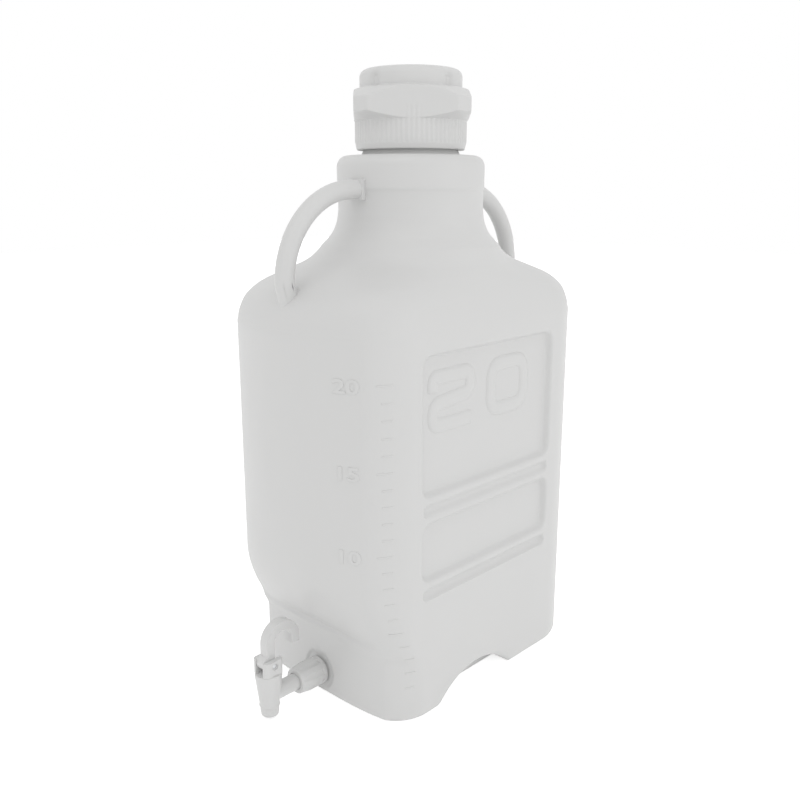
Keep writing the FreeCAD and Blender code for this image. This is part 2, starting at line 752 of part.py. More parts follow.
cam_rise = "cam_offset * sin(cam_angle)"
valve_travel = f"(2 * {cam_rise})"
slot_floor = f"(pin_height - {cam_rise} - cam_radius - slot_floor_clearance)"
button_top = f"(pin_height + {cam_rise} - cam_radius - cam_clearance)"
pocket_floor = f"({button_top} - button_thickness - {valve_travel} - slot_floor_clearance)"
stem_bore = "(stem_radius + stem_running_clearance)"
seal_groove = f"({stem_bore} + 2 * stem_seal_section)"
bonnet_groove_top = "(barrel_top - 2.4)"

plug = tap_body_part("bonnet_plug", [
    (stem_bore, "bonnet_bore_bottom"),
    ("bonnet_radius", "bonnet_bore_bottom"),
    ("bonnet_radius", f"{bonnet_groove_top} - 2 * bonnet_seal_section"),
    ("bonnet_radius - 2 * bonnet_seal_section", f"{bonnet_groove_top} - 2 * bonnet_seal_section"),
    ("bonnet_radius - 2 * bonnet_seal_section", bonnet_groove_top),
    ("bonnet_radius", bonnet_groove_top),
    ("bonnet_radius", "barrel_top"),
    ("button_radius + button_pocket_clearance", "barrel_top"),
    ("button_radius + button_pocket_clearance", pocket_floor),
    (stem_bore, pocket_floor),
    (stem_bore, "stem_seal_bottom + 2 * stem_seal_section"),
    (seal_groove, "stem_seal_bottom + 2 * stem_seal_section"),
    (seal_groove, "stem_seal_bottom"),
    (stem_bore, "stem_seal_bottom"),
])
head = new_body("head_block", y="-tap_reach", z="barrel_top")
head_pad = padded(head, [
    ("-head_half_width", "-head_half_depth"),
    ("head_half_width", "-head_half_depth"),
    ("head_half_width", "head_half_depth"),
    ("-head_half_width", "head_half_depth"),
], "head_top - barrel_top")
rounded(head, head_pad, "head_corner", lambda one: runs_along(one, Z_AXIS))
slot_half = "(lever_width / 2 + lever_side_clearance)"
slot = primitive("Box", "lever_slot", x=f"-{slot_half}", y="-tap_reach - head_half_depth - 1", z=slot_floor,
                 Length=f"2 * {slot_half}", Width="2 * head_half_depth + 2", Height="head_top - barrel_top + 5")
pocket = primitive("Cylinder", "button_pocket", y="-tap_reach", z="barrel_top - 1",
                   Radius="button_radius + button_pocket_clearance", Height="5")
pin_hole = primitive("Cylinder", "pin_hole", ALONG_X, x="-head_half_width - 1", y="-tap_reach", z="pin_height",
                     Radius="pin_radius", Height="2 * head_half_width + 2")
recesses = [
    primitive("Cylinder", f"pin_recess_{sign}", ALONG_X,
              x="head_half_width - pin_recess" if sign > 0 else "-head_half_width - 5",
              y="-tap_reach", z="pin_height", Radius="pin_recess_radius", Height="pin_recess + 5")
    for sign in (-1, 1)
]
cut("tap_bonnet", joined("bonnet_solid", plug, head),
    joined("bonnet_space", slot, pocket, pin_hole, *recesses))
primitive("Cylinder", "pivot_pin", ALONG_X, x="-head_half_width + pin_recess", y="-tap_reach", z="pin_height",
          Radius="pin_radius", Height="2 * (head_half_width - pin_recess)")
primitive("Torus", "bonnet_seal", y="-tap_reach", z=f"{bonnet_groove_top} - bonnet_seal_section",
          Radius1="bonnet_radius - bonnet_seal_section", Radius2="bonnet_seal_section")
primitive("Torus", "stem_seal", y="-tap_reach", z="stem_seal_bottom + stem_seal_section",
          Radius1=f"{stem_bore} + stem_seal_section", Radius2="stem_seal_section")


# ---- valve: stem, seat cup, spring and its washer ------------------------------------------

poppet_top = "(seat_bottom - seat_clearance)"
tap_body_part("valve_stem", [
    ("0", f"{poppet_top} - poppet_thickness"),
    ("stem_radius", f"{poppet_top} - poppet_thickness"),
    ("stem_radius", f"{button_top} - button_thickness"),
    ("button_radius", f"{button_top} - button_thickness"),
    ("button_radius", button_top),
    ("0", button_top),
])
tap_body_part("seat_cup", [
    ("stem_radius", f"{poppet_top} - poppet_thickness"),
    ("poppet_radius - 1", f"{poppet_top} - poppet_thickness"),
    ("poppet_radius", f"{poppet_top} - poppet_thickness + 1"),
    ("poppet_radius", poppet_top),
    ("stem_radius", poppet_top),
])
tap_body_part("spring_washer", [
    ("stem_radius", "retainer_bottom"),
    ("retainer_radius", "retainer_bottom"),
    ("retainer_radius", "retainer_bottom + retainer_thickness"),
    ("stem_radius", "retainer_bottom + retainer_thickness"),
])


def coil_spring(label):
    """A round wire swept up a helix between the seat's web and the washer."""
    wire_radius = size("spring_wire_radius")
    bottom = size("seat_top") + wire_radius
    top = size("retainer_bottom") - wire_radius
    radius = size("spring_radius")
    helix = Part.makeLongHelix((top - bottom) / size("spring_turns"), top - bottom, radius)
    section = Part.Wire([Part.makeCircle(wire_radius, FreeCAD.Vector(radius, 0, 0), Y_AXIS)])
    spring = Part.Wire(helix.Edges).makePipeShell([section], True, True)
    item = shape_feature(label, spring)
    item.Placement = FreeCAD.Placement(FreeCAD.Vector(0, -size("tap_reach"), bottom), FreeCAD.Rotation())
    return item


coil_spring("return_spring")


# ---- lever ---------------------------------------------------------------------------------

lever_left = "-lever_width / 2"
hook_y = "-tap_reach + lever_bend_radius"
cam = primitive("Cylinder", "lever_cam", ALONG_X, x=lever_left, y="-tap_reach - cam_offset * cos(cam_angle)",
                z=f"pin_height + {cam_rise}", Radius="cam_radius", Height="lever_width")
arm = primitive("Box", "lever_arm", x=lever_left, y="-tap_reach - lever_thickness / 2", z="pin_height",
                Length="lever_width", Width="lever_thickness", Height="lever_bend_height - pin_height")
hook_outer = primitive("Cylinder", "hook_outer", ALONG_X, x=lever_left, y=hook_y, z="lever_bend_height",
                       Radius="lever_bend_radius + lever_thickness / 2", Height="lever_width")
hook_inner = primitive("Cylinder", "hook_inner", ALONG_X, x=f"{lever_left} - 1", y=hook_y,
                       z="lever_bend_height", Radius="lever_bend_radius - lever_thickness / 2",
                       Height="lever_width + 2")
hook_half = primitive("Box", "hook_half", x=f"{lever_left} - 1", y=f"{hook_y} - 2 * lever_bend_radius",
                      z="lever_bend_height", Length="lever_width + 2", Width="4 * lever_bend_radius",
                      Height="2 * lever_bend_radius")
tip = primitive("Box", "lever_tip", x=lever_left, y=f"{hook_y} + lever_bend_radius - lever_thickness / 2",
                z="lever_bend_height - lever_tip_drop", Length="lever_width", Width="lever_thickness",
                Height="lever_tip_drop")
hook = shared("hook", cut("hook_ring", hook_outer, hook_inner), hook_half)
lever_hole = primitive("Cylinder", "lever_hole", ALONG_X, x=f"{lever_left} - 1", y="-tap_reach",
                       z="pin_height", Radius="pin_radius + pin_running_clearance",
                       Height="lever_width + 2")
cut("tap_lever", joined("lever_solid", cam, arm, hook, tip), lever_hole)


# ---- check the document and write one file for each piece ----------------------------------

NODES = [
    "bottle_foot", "bottle_lower_walls", "bottle_sides", "bottle_shoulder", "bottle_collar", "bottle_neck",
    "front_handle", "rear_handle", "cap_shell", "cap_liner",
    "outlet_gasket", "nut_ring", "coupling_nut", "tap_body", "tap_bonnet", "bonnet_seal",
    "stem_seal", "pivot_pin", "tap_lever", "valve_stem", "seat_cup", "spring_washer", "return_spring",
]

doc.recompute()
for item in doc.Objects:
    if "Invalid" in item.State or "Error" in item.State:
        raise RuntimeError(f"{item.Label} failed: {item.State}")

os.makedirs("parts", exist_ok=True)
for node in NODES:
    shape = doc.getObjectsByLabel(node)[0].Shape
    if shape.isNull() or not shape.isValid() or len(shape.Solids) != 1:
        raise RuntimeError(f"{node} is not one valid solid")
    shape.exportStep(f"parts/{node}.step")
    print(f"{node}: {shape.Volume / 1000:.2f} cm3")
print(f"valve travel {size(valve_travel):.4f} mm, cam turn {2 * size('cam_angle'):.0f} degrees")
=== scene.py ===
"""Finished surfaces, colours and studio for a twenty litre dispensing carboy."""

import math

import bmesh
import bpy
import numpy as np
from mathutils import Matrix, Vector


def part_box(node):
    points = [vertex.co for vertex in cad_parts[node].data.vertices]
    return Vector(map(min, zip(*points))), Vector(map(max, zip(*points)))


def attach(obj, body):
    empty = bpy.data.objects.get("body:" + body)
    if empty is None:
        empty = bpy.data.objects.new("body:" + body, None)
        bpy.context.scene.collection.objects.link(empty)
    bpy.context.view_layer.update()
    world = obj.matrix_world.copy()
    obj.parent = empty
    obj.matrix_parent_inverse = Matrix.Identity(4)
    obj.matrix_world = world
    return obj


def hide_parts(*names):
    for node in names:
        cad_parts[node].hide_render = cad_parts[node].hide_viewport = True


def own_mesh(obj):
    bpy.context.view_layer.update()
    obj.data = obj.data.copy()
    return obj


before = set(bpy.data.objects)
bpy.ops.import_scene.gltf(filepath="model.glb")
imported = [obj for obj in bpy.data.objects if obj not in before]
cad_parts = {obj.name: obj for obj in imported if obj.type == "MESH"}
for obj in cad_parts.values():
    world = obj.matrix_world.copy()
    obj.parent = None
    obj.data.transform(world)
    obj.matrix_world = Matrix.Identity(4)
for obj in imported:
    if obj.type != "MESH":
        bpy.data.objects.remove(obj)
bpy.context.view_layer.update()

bl_info = {
    "name": "Dispensing carboy",
    "version": (1, 0, 0),
    "blender": (4, 5, 0),
    "location": "View3D > Sidebar > Carboy",
    "description": "Builds the moulded bottle, its screw cap, handles and lever tap, and a pale studio",
    "category": "Object",
}

BANDS = [
    "bottle_foot", "bottle_lower_walls", "bottle_sides", "bottle_shoulder", "bottle_collar", "bottle_neck",
]
SIDES_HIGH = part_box("bottle_sides")[1]
CAP_LOW, CAP_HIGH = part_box("cap_shell")
LINER_LOW, LINER_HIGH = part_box("cap_liner")

# The shoulder: how far up it a ring is, and how far the outline has gone from the body's
# plan to a circle. The sweep above it goes on from that circle to the collar's.
SHOULDER = [
    (0.0, 0.0), (0.18, 0.035), (0.38, 0.13), (0.55, 0.32),
    (0.67, 0.56), (0.78, 0.78), (0.9, 0.92), (1.0, 1.0),
]
SWEEP = [(0.0, 0.0), (0.25, 0.5), (0.6, 0.86), (1.0, 1.0)]


def length(name, default, description):
    """A size in metres that a user can change."""
    return bpy.props.FloatProperty(
        name=name, default=default, description=description, min=0.0, unit="LENGTH", precision=4)


def shade(name, default, description):
    """A colour that a user can change."""
    return bpy.props.FloatVectorProperty(
        name=name, default=default, description=description, subtype="COLOR", size=4, min=0.0, max=1.0)


class CarboyBody(bpy.types.PropertyGroup):
    """Sizes of the blown body, its niche, grips, panels and neck."""

    half_width: length("Half width", SIDES_HIGH.x, "From the axis to a flat side")
    half_length: length("Half length", SIDES_HIGH.y, "From the axis to the crown of a bulged end")
    end_radius: length("End radius", 0.175, "Radius of a bulged end")
    corner_radius: length("Corner radius", 0.022, "Radius of the upright corners")
    wall: length("Wall", 0.0075, "Thickness of the blown wall")
    floor: length("Floor", 0.006, "Thickness of the bottle's floor")
    foot_round: length("Foot edge", 0.006, "Rounding where the sides meet the base")
    shoulder_start: length("Shoulder start", 0.363, "Height where the sides begin to draw in")
    circle_height: length("Circle height", 0.431, "Height where the shoulder has become round")
    circle_radius: length("Circle radius", 0.0855, "Radius of the shoulder there")
    collar_foot: length("Collar foot", 0.463, "Height where the collar stands upright")
    collar_radius: length("Collar radius", 0.0698, "Radius of the collar's lower band")
    collar_lip: length("Collar lip", 0.0008, "Step of the collar's upper band")
    lip_height: length("Lip height", 0.4815, "Height of that step")
    collar_top: length("Collar top", 0.513, "Height of the collar's top")
    collar_round: length("Collar edge", 0.010, "Rounding of the collar's top edge")
    neck_radius: length("Neck radius", 0.0425, "Outside of the neck under its thread")
    neck_bore: length("Neck bore", 0.0385, "Inside of the neck")
    thread_crest: length("Thread crest", 0.0024, "How far the thread stands out of the neck")
    thread_pitch: length("Thread pitch", 0.008, "Rise of the thread in one turn")
    niche_wall: length("Niche wall", 0.130, "From the axis to the flat wall behind the tap")
    niche_height: length("Niche height", 0.076, "Height where the sloping roof meets that wall")
    niche_corner: length("Niche corner", 0.042, "Radius of the niche wall's two corners")
    niche_ridge: length("Niche ridge", 0.0018, "How far a ridge stands out along the top of the niche wall")
    niche_edge: length("Niche edge", 0.030, "Rounding of the roof's front edge")
    grip_span: length("Grip half span", 0.056, "Half the width of a base grip")
    grip_height: length("Grip height", 0.024, "Height of a base grip")
    grip_depth: length("Grip depth", 0.024, "Depth of a base grip")
    grip_centre: bpy.props.FloatProperty(
        name="Grip centre", default=-0.013, unit="LENGTH", description="Middle of the base grips along Y")
    panel_half: length("Panel half length", 0.095, "Half the length of a side panel")
    panel_depth: length("Panel depth", 0.0055, "Depth of a side panel")
    panel_corner: length("Panel corner", 0.010, "Corner radius of a side panel")
    rib_radius: length("Groove radius", 0.0065, "Radius of a side groove's section")
    rib_depth: length("Groove depth", 0.0035, "Depth of a side groove")


class CarboyCap(bpy.types.PropertyGroup):
    """Sizes of the screw cap's skirt, square lug and crown."""

    bottom: length("Bottom", CAP_LOW.z, "Height of the rim's underside")
    top: length("Top", CAP_HIGH.z, "Height of the crown")
    bore: length("Bore", LINER_HIGH.x + 0.0005, "Inside radius")
    ceiling: length("Ceiling", LINER_HIGH.z, "Height of the inside's ceiling")
    rim_radius: length("Rim radius", 0.0515, "Plain rim under the ribs")
    skirt_radius: length("Skirt radius", 0.053, "Ribbed skirt")
    rib_depth: length("Rib depth", 0.0006, "Depth of the skirt's ribs")
    ribs: bpy.props.IntProperty(name="Ribs", default=72, min=4, description="Ribs round the skirt")
    flat_reach: length("Flat reach", 0.0533, "From the axis to a flat of the lug")
    corner_reach: length("Corner reach", 0.0665, "From the axis to a cut corner of the lug")
    lug_bottom: length("Lug bottom", 0.5440, "Height where the lug leaves the skirt")
    corner_bottom: length("Corner bottom", 0.5502, "Height of a cut corner's lower edge")
    corner_top: length("Corner top", 0.5630, "Height of a cut corner's upper edge")
    lug_crest: length("Lug crest", 0.5725, "Height of a flat's upper edge")
    crown_radius: length("Crown radius", 0.0482, "Round crown above the lug")
    crown_round: length("Crown edge", 0.0068, "Rounding of the crown's top edge")
    crease: length("Crease depth", 0.0036, "Depth of the crown's four upright creases")


class CarboyFinish(bpy.types.PropertyGroup):
    """Colours of the plastics, seals and metal."""

    blown: shade("Blown plastic", (0.66, 0.66, 0.655, 1.0), "Bottle and handles")
    cap: shade("Cap plastic", (0.66, 0.66, 0.655, 1.0), "Screw cap")
    tap: shade("Tap plastic", (0.67, 0.67, 0.665, 1.0), "Tap, nut and lever")
    foam: shade("Liner foam", (0.80, 0.80, 0.78, 1.0), "Soft disc inside the cap")
    seal: shade("Seal rubber", (0.035, 0.035, 0.037, 1.0), "Rubber rings, gasket and seat cup")
    steel: shade("Steel", (0.56, 0.57, 0.58, 1.0), "Pivot pin and return spring")


class CarboyStudio(bpy.types.PropertyGroup):
    """Camera, lamps and backdrop."""

    azimuth: bpy.props.FloatProperty(name="Azimuth", default=math.radians(43.5), subtype="ANGLE",
                                     description="Camera's turn from the tap's side")
    elevation: bpy.props.FloatProperty(name="Elevation", default=math.radians(13.8), subtype="ANGLE",
                                       description="Camera's height above the horizon")
    distance: length("Distance", 0.887, "Camera to the point it looks at")
    aim_height: length("Aim height", 0.273, "Height of the point it looks at")
    side_step: length("Side step", 0.0102, "How far the camera stands to its left")
    lens: bpy.props.FloatProperty(name="Lens", default=39.1, description="Focal length in millimetres")
    ambient: bpy.props.FloatProperty(name="Ambient", default=0.86, description="Light from all round")
    key_power: bpy.props.FloatProperty(
        name="Key lamp", default=3.0, unit="POWER", description="Large lamp above"
    )
    backdrop: shade("Backdrop", (1.0, 1.0, 1.0, 1.0), "Colour seen behind the bottle")


# ---- meshes --------------------------------------------------------------------------------

def finish_piece(name, bm, material, body, replaced=(), sharp=38):
    """Puts a mesh in the scene on its CAD body, shaded smooth up to an angle."""
    mesh = bpy.data.meshes.new(name)
    bm.to_mesh(mesh)
    bm.free()
    for face in mesh.polygons:
        face.use_smooth = True
    mesh.set_sharp_from_angle(angle=math.radians(sharp))
    mesh.materials.append(material)
    piece = bpy.data.objects.new(name, mesh)
    bpy.context.scene.collection.objects.link(piece)
    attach(piece, body)
    if replaced:
        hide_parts(*replaced)
    return piece


def spun_grid(columns, rings):
    """A tube round Z whose rings of vertices stand one unit apart."""
    bm = bmesh.new()
    row = [bm.verts.new((1.0, 0.0, number)) for number in range(rings)]
    edges = [bm.edges.new(pair) for pair in zip(row, row[1:])]
    bmesh.ops.spin(bm, geom=row + edges, cent=(0, 0, 0), axis=(0, 0, 1), angle=math.tau,
                   steps=columns, use_merge=True, use_duplicate=False)
    return bm


def moulded(columns, rings):
    """A closed surface from rings, each an array of one point for each column."""
    bm = spun_grid(columns, len(rings))
    grid = np.array(rings)
    for vert in bm.verts:
        turn = math.atan2(vert.co.y, vert.co.x) / math.tau
        vert.co = grid[round(vert.co.z), round(turn * columns) % columns]
    bmesh.ops.remove_doubles(bm, verts=bm.verts, dist=2e-6)
    bmesh.ops.recalc_face_normals(bm, faces=bm.faces)
    return bm


def eased_corners(points, radius, steps=4):
    """A closed outline with each corner turned into a small curve."""
    outline = []
    for before, corner, after in zip(points[-1:] + points[:-1], points, points[1:] + points[:1]):
        corner = Vector(corner)
        back = Vector(before) - corner
        onward = Vector(after) - corner
        reach = min(radius, back.length / 2, onward.length / 2)
        start = corner + back.normalized() * reach
        end = corner + onward.normalized() * reach
        for step in range(steps + 1):
            share = step / steps
            outline.append(start * (1 - share) ** 2 + corner * 2 * share * (1 - share) + end * share ** 2)
    return outline


def turned_piece(points, radius=0.0006, columns=96):
    """A ring turned round Z from a closed outline of (radius, height) pairs."""
    bm = bmesh.new()
    row = [bm.verts.new((point.x, 0.0, point.y)) for point in eased_corners(points, radius)]
    edges = [bm.edges.new(pair) for pair in zip(row, row[1:] + row[:1])]
    bmesh.ops.spin(bm, geom=row + edges, cent=(0, 0, 0), axis=(0, 0, 1), angle=math.tau,
                   steps=columns, use_merge=True, use_duplicate=False)
    bmesh.ops.remove_doubles(bm, verts=bm.verts, dist=2e-6)
    bmesh.ops.recalc_face_normals(bm, faces=bm.faces)
    return bm


def softened_copy(node, edge, angle=32):
    """A copy of a CAD piece with its flats merged and its edges rounded."""
    bm = bmesh.new()
    bm.from_mesh(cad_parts[node].data)
    bmesh.ops.remove_doubles(bm, verts=bm.verts, dist=2e-6)
    bmesh.ops.dissolve_limit(bm, angle_limit=math.radians(0.8), verts=bm.verts, edges=bm.edges)
    if edge > 0:
        sharp = [one for one in bm.edges
                 if len(one.link_faces) == 2 and one.calc_face_angle() > math.radians(angle)]
        bmesh.ops.bevel(bm, geom=sharp, offset=edge, offset_type="OFFSET", segments=3, profile=0.5,
                        affect="EDGES", clamp_overlap=True, material=-1)
    return bm


# ---- the blown body's form -----------------------------------------------------------------

def round_max(a, b, radius):
    """Distance to where two solids overlap, with the edge between their faces rounded."""
    return np.minimum(-radius, np.maximum(a, b)) + np.hypot(
        np.maximum(a + radius, 0), np.maximum(b + radius, 0))


def round_min(a, b, radius):
    """Distance to two solids together, with the fold between their faces filled."""
    return -round_max(-a, -b, radius)


def smooth_step(value):
    """0 below 0, 1 above 1, and an even S between."""
    share = np.clip(value, 0, 1)
    return share * share * (3 - 2 * share)


def eased(table, at):
    """A smooth curve through a table's points."""
    x, y = np.array(table).T
    slope = np.gradient(y, x)
    left = np.clip(np.searchsorted(x, at) - 1, 0, len(x) - 2)
    gap = x[left + 1] - x[left]
    share = (at - x[left]) / gap
    rise = y[left] + (y[left + 1] - y[left]) * share * share * (3 - 2 * share)
    lead = slope[left] * gap * share * (1 - share) ** 2
    trail = slope[left + 1] * gap * share ** 2 * (1 - share)
    return rise + lead - trail


def outside(body, x, y, z):
    """How far a point is outside the body's plan and niche, below the shoulder."""
    side = np.abs(x) - body.half_width
    end = np.hypot(x, np.abs(y) + body.end_radius - body.half_length) - body.end_radius
    plan = round_max(side, end, body.corner_radius)
    wall = -body.niche_wall - y
    roof = (body.niche_height - body.niche_wall - y - z) / math.sqrt(2)
    ridge = body.niche_ridge * np.exp(-((z - body.niche_height + 0.004) / 0.0035) ** 2)
    kept = round_min(wall - ridge, roof, 0.003)
    corner = body.niche_corner + (body.niche_edge - body.niche_corner) * smooth_step(
        (z - body.niche_height + 0.018) / 0.022)
    return round_max(plan, kept, corner)


def reach(body, angle, height):
    """Distance from the axis to the body's surface in each direction at each height."""
    near = np.full(np.broadcast(angle, height).shape, 0.06)
    far = np.full(near.shape, 0.21)
    for _ in range(26):
        middle = (near + far) / 2
        out = outside(body, middle * np.cos(angle), middle * np.sin(angle), height) > 0
        far = np.where(out, middle, far)
        near = np.where(out, near, middle)
    return (near + far) / 2


def arch(body, y):
    """Height of the base grips' arch above the ground."""
    radius = (body.grip_span ** 2 + body.grip_height ** 2) / (2 * body.grip_height)
    across = np.clip(np.abs(y - body.grip_centre), 0, body.grip_span)
    return np.sqrt(radius ** 2 - across ** 2) - radius + body.grip_height


def spread(low, high, count, marks):
    """Heights or lengths from low to high, closer together near the marks (place, reach, weight)."""
    fine = np.linspace(low, high, 6000)
    weight = np.ones_like(fine)
    for place, around, extra in marks:
        weight += extra * np.exp(-((fine - place) / around) ** 2)
    total = np.concatenate([[0], np.cumsum((weight[1:] + weight[:-1]) / 2)])
    return np.interp(np.linspace(0, total[-1], count), total, fine)


def column_angles(body, count):
    """Directions of the columns: even along the plan, closer at corners and panel ends."""
    fine = np.linspace(0, math.tau, 8001)
    radius = reach(body, fine, 0.25)
    x, y = radius * np.cos(fine), radius * np.sin(fine)
    step = np.hypot(np.diff(x), np.diff(y))
    x, y = (x[1:] + x[:-1]) / 2, (y[1:] + y[:-1]) / 2
    corner = np.exp(-((np.hypot(np.abs(x) - 0.097, np.abs(y) - 0.140)) / 0.018) ** 2)
    panel = np.exp(-((np.abs(y) - body.panel_half) / 0.0035) ** 2)
    outlet = (y < 0) * np.exp(-(x / 0.026) ** 6)
    total = np.concatenate([[0], np.cumsum(step * (1 + 1.2 * corner + 3.0 * panel + 2.0 * outlet))])
    return np.interp(np.arange(count) / count * total[-1], total, fine)


PANELS = ((0.218, 0.344), (0.137, 0.191))
GROOVES = (0.2045, 0.1235)
OUTLET_HEIGHT = 0.024
OUTLET_RECESS = 0.019


def side_relief(body, y, z):
    """Depth of the panels and grooves that are moulded into the sides."""
    depth = np.zeros_like(y * z)
    soft = 0.0055
    for low, high in PANELS:
        across = np.abs(y) - body.panel_half + body.panel_corner
        along = np.abs(z - (low + high) / 2) - (high - low) / 2 + body.panel_corner
        edge = (np.hypot(np.maximum(across, 0), np.maximum(along, 0))
                + np.minimum(np.maximum(across, along), 0) - body.panel_corner)
        depth += body.panel_depth * smooth_step(0.5 - edge / soft)
    half = math.sqrt(body.rib_radius ** 2 - (body.rib_radius - body.rib_depth) ** 2)
    for height in GROOVES:
        beyond = np.maximum(np.abs(y) - body.panel_half + half, 0)
        away = np.hypot(beyond, z - height)
        section = np.sqrt(np.maximum(body.rib_radius ** 2 - away ** 2, 0)) - body.rib_radius + body.rib_depth
        depth += np.maximum(section, 0)
    return depth


def relieved(body, x, y, z):
    """Moves body points in where the panels, the grooves and the outlet's recess are."""
    on_side = smooth_step((np.abs(x) - body.half_width + 0.002) / 0.0015)
    x = x - np.sign(x) * on_side * side_relief(body, y, z)
    from_outlet = np.hypot(x, z - OUTLET_HEIGHT)
    recess = (y < 0) * smooth_step((OUTLET_RECESS - from_outlet) / 0.0012 + 0.5)
    return x, y + 0.0015 * recess


def bottle_rings(body, angle):
    """Every ring of the bottle, from the middle of its base up, over the lip and down inside."""
    cos, sin = np.cos(angle), np.sin(angle)
    rings = []

    def add(radius, height):
        radius = np.broadcast_to(radius, angle.shape)
        rings.append(np.stack([radius * cos, radius * sin, np.broadcast_to(height, angle.shape)], axis=1))

    # base, grip wall and grip ceiling
    edge = reach(body, angle, 0.012)
    grip_wall = (body.half_width - body.grip_depth) / np.maximum(np.abs(cos), 1e-6)
    foot = np.minimum(edge - 0.022, grip_wall)
    for share in (0, 0.25, 0.5, 0.75, 0.93, 1):
        add(foot * share, 0.0)
    for share in (0.12, 0.5, 0.9, 1):
        add(foot, arch(body, foot * sin) * share)
    inner_edge = edge - body.foot_round
    for share in (0.06, 0.25, 0.5, 0.75, 1):
        radius = foot + (inner_edge - foot) * share
        add(radius, arch(body, radius * sin))
    for turn in np.radians((18, 36, 54, 72)):
        radius = inner_edge + body.foot_round * math.sin(turn)
        add(radius, arch(body, radius * sin) + body.foot_round * (1 - math.cos(turn)))

    # sides
    marks = [(OUTLET_HEIGHT, 0.022, 1.6), (body.niche_height, 0.008, 1.5), (0.120, 0.006, 1.0)]
    marks += [(height, 0.006, 3.5) for height in GROOVES]
    marks += [(height, 0.004, 4.0) for panel in PANELS for height in panel]
    lifted = arch(body, edge * sin)
    lift_end = 0.06
    for height in spread(body.foot_round, body.shoulder_start, 128, marks):
        above = np.clip((lift_end - height) / (lift_end - body.foot_round), 0, 1)
        level = height + lifted * above
        radius = reach(body, angle, level)
        x, y = relieved(body, radius * cos, radius * sin, level)
        rings.append(np.stack([x, y, level], axis=1))

    # shoulder, sweep and collar
    plan = reach(body, angle, body.shoulder_start)
    rise = body.circle_height - body.shoulder_start
    climb = np.linspace(0, 1, 37)[1:]
    for share in climb:
        add(plan + (body.circle_radius - plan) * eased(SHOULDER, share), body.shoulder_start + rise * share)
    for share in np.linspace(0, 1, 13)[1:]:
        add(body.circle_radius + (body.collar_radius - body.circle_radius) * eased(SWEEP, share),
            body.circle_height + (body.collar_foot - body.circle_height) * share)
    lip = body.collar_radius + body.collar_lip
    fold = 0.0015
    for radius, height in neck_outline(body, lip, fold):
        add(radius, height)

    # inside: collar, shoulder, body and floor
    add(body.collar_radius - body.wall, body.collar_foot)
    for share in (0.7, 0.4, 0.15):
        add(body.circle_radius + (body.collar_radius - body.circle_radius) * eased(SWEEP, share) - body.wall,
            body.circle_height + (body.collar_foot - body.circle_height) * share)
    for share in climb[::-3]:
        add(plan + (body.circle_radius - plan) * eased(SHOULDER, share) - body.wall,
            body.shoulder_start + rise * share - body.wall * eased(SHOULDER, share))
    for height in np.linspace(body.shoulder_start, body.floor, 24):
        radius = reach(body, angle, height + body.wall) - body.wall
        if height < body.grip_height + 2 * body.wall:
            radius = np.minimum(radius, grip_wall - body.wall / np.maximum(np.abs(cos), 1e-6))
        add(radius, height)
    for share in (0.97, 0.66, 0.33, 0):
        add(radius * share, body.floor)
    return rings


def arc(centre, radius, start, end, steps=6):
    """Points (radius, height) along an arc between two angles in degrees."""
    return [(centre[0] + radius * math.cos(turn), centre[1] + radius * math.sin(turn))
            for turn in np.radians(np.linspace(start, end, steps + 1))]


def neck_outline(body, lip, fold):
    """The collar, the neck, its lip and its bore as (radius, height) pairs."""
    top = LINER_LOW.z
    lip_round = 0.0014
    inner = body.collar_top - body.wall
    points = [
        (body.collar_radius, body.collar_foot + 0.006),
        (body.collar_radius, body.lip_height - 0.001),
        (body.collar_radius + 0.3 * body.collar_lip, body.lip_height - 0.0003),
        (lip, body.lip_height + 0.0006),
        (lip, body.lip_height + 0.003),
    ]
    points += arc((lip - body.collar_round, body.collar_top - body.collar_round), body.collar_round, 0, 90, 8)
    points += [(0.056, body.collar_top)]
    flare = body.neck_radius + 0.0045
    points += arc((flare + fold, body.collar_top + fold), fold, 270, 215, 3)
    points += [(body.neck_radius, height) for height in (body.collar_top + 0.0095, 0.54, 0.565)]
    points += arc((body.neck_radius - lip_round, top - lip_round), lip_round, 0, 90, 4)
    points += arc((body.neck_bore + lip_round, top - lip_round), lip_round, 90, 180, 4)
    points += [(body.neck_bore, 0.55), (body.neck_bore, inner + 0.002), (body.neck_bore + 0.002, inner)]
    points += arc((lip - body.collar_round, inner - 0.006), 0.006, 90, 0, 4)
    return points


# ---- the cap's form ------------------------------------------------------------------------

def blend_min(a, b, soft):
    """The lesser of two radii, passing smoothly from one to the other."""
    share = np.clip(0.5 + 0.5 * (b - a) / soft, 0, 1)
    return b + (a - b) * share - soft * share * (1 - share)


def blend_max(a, b, soft):
    """The greater of two radii, passing smoothly from one to the other."""
    return -blend_min(-a, -b, soft)


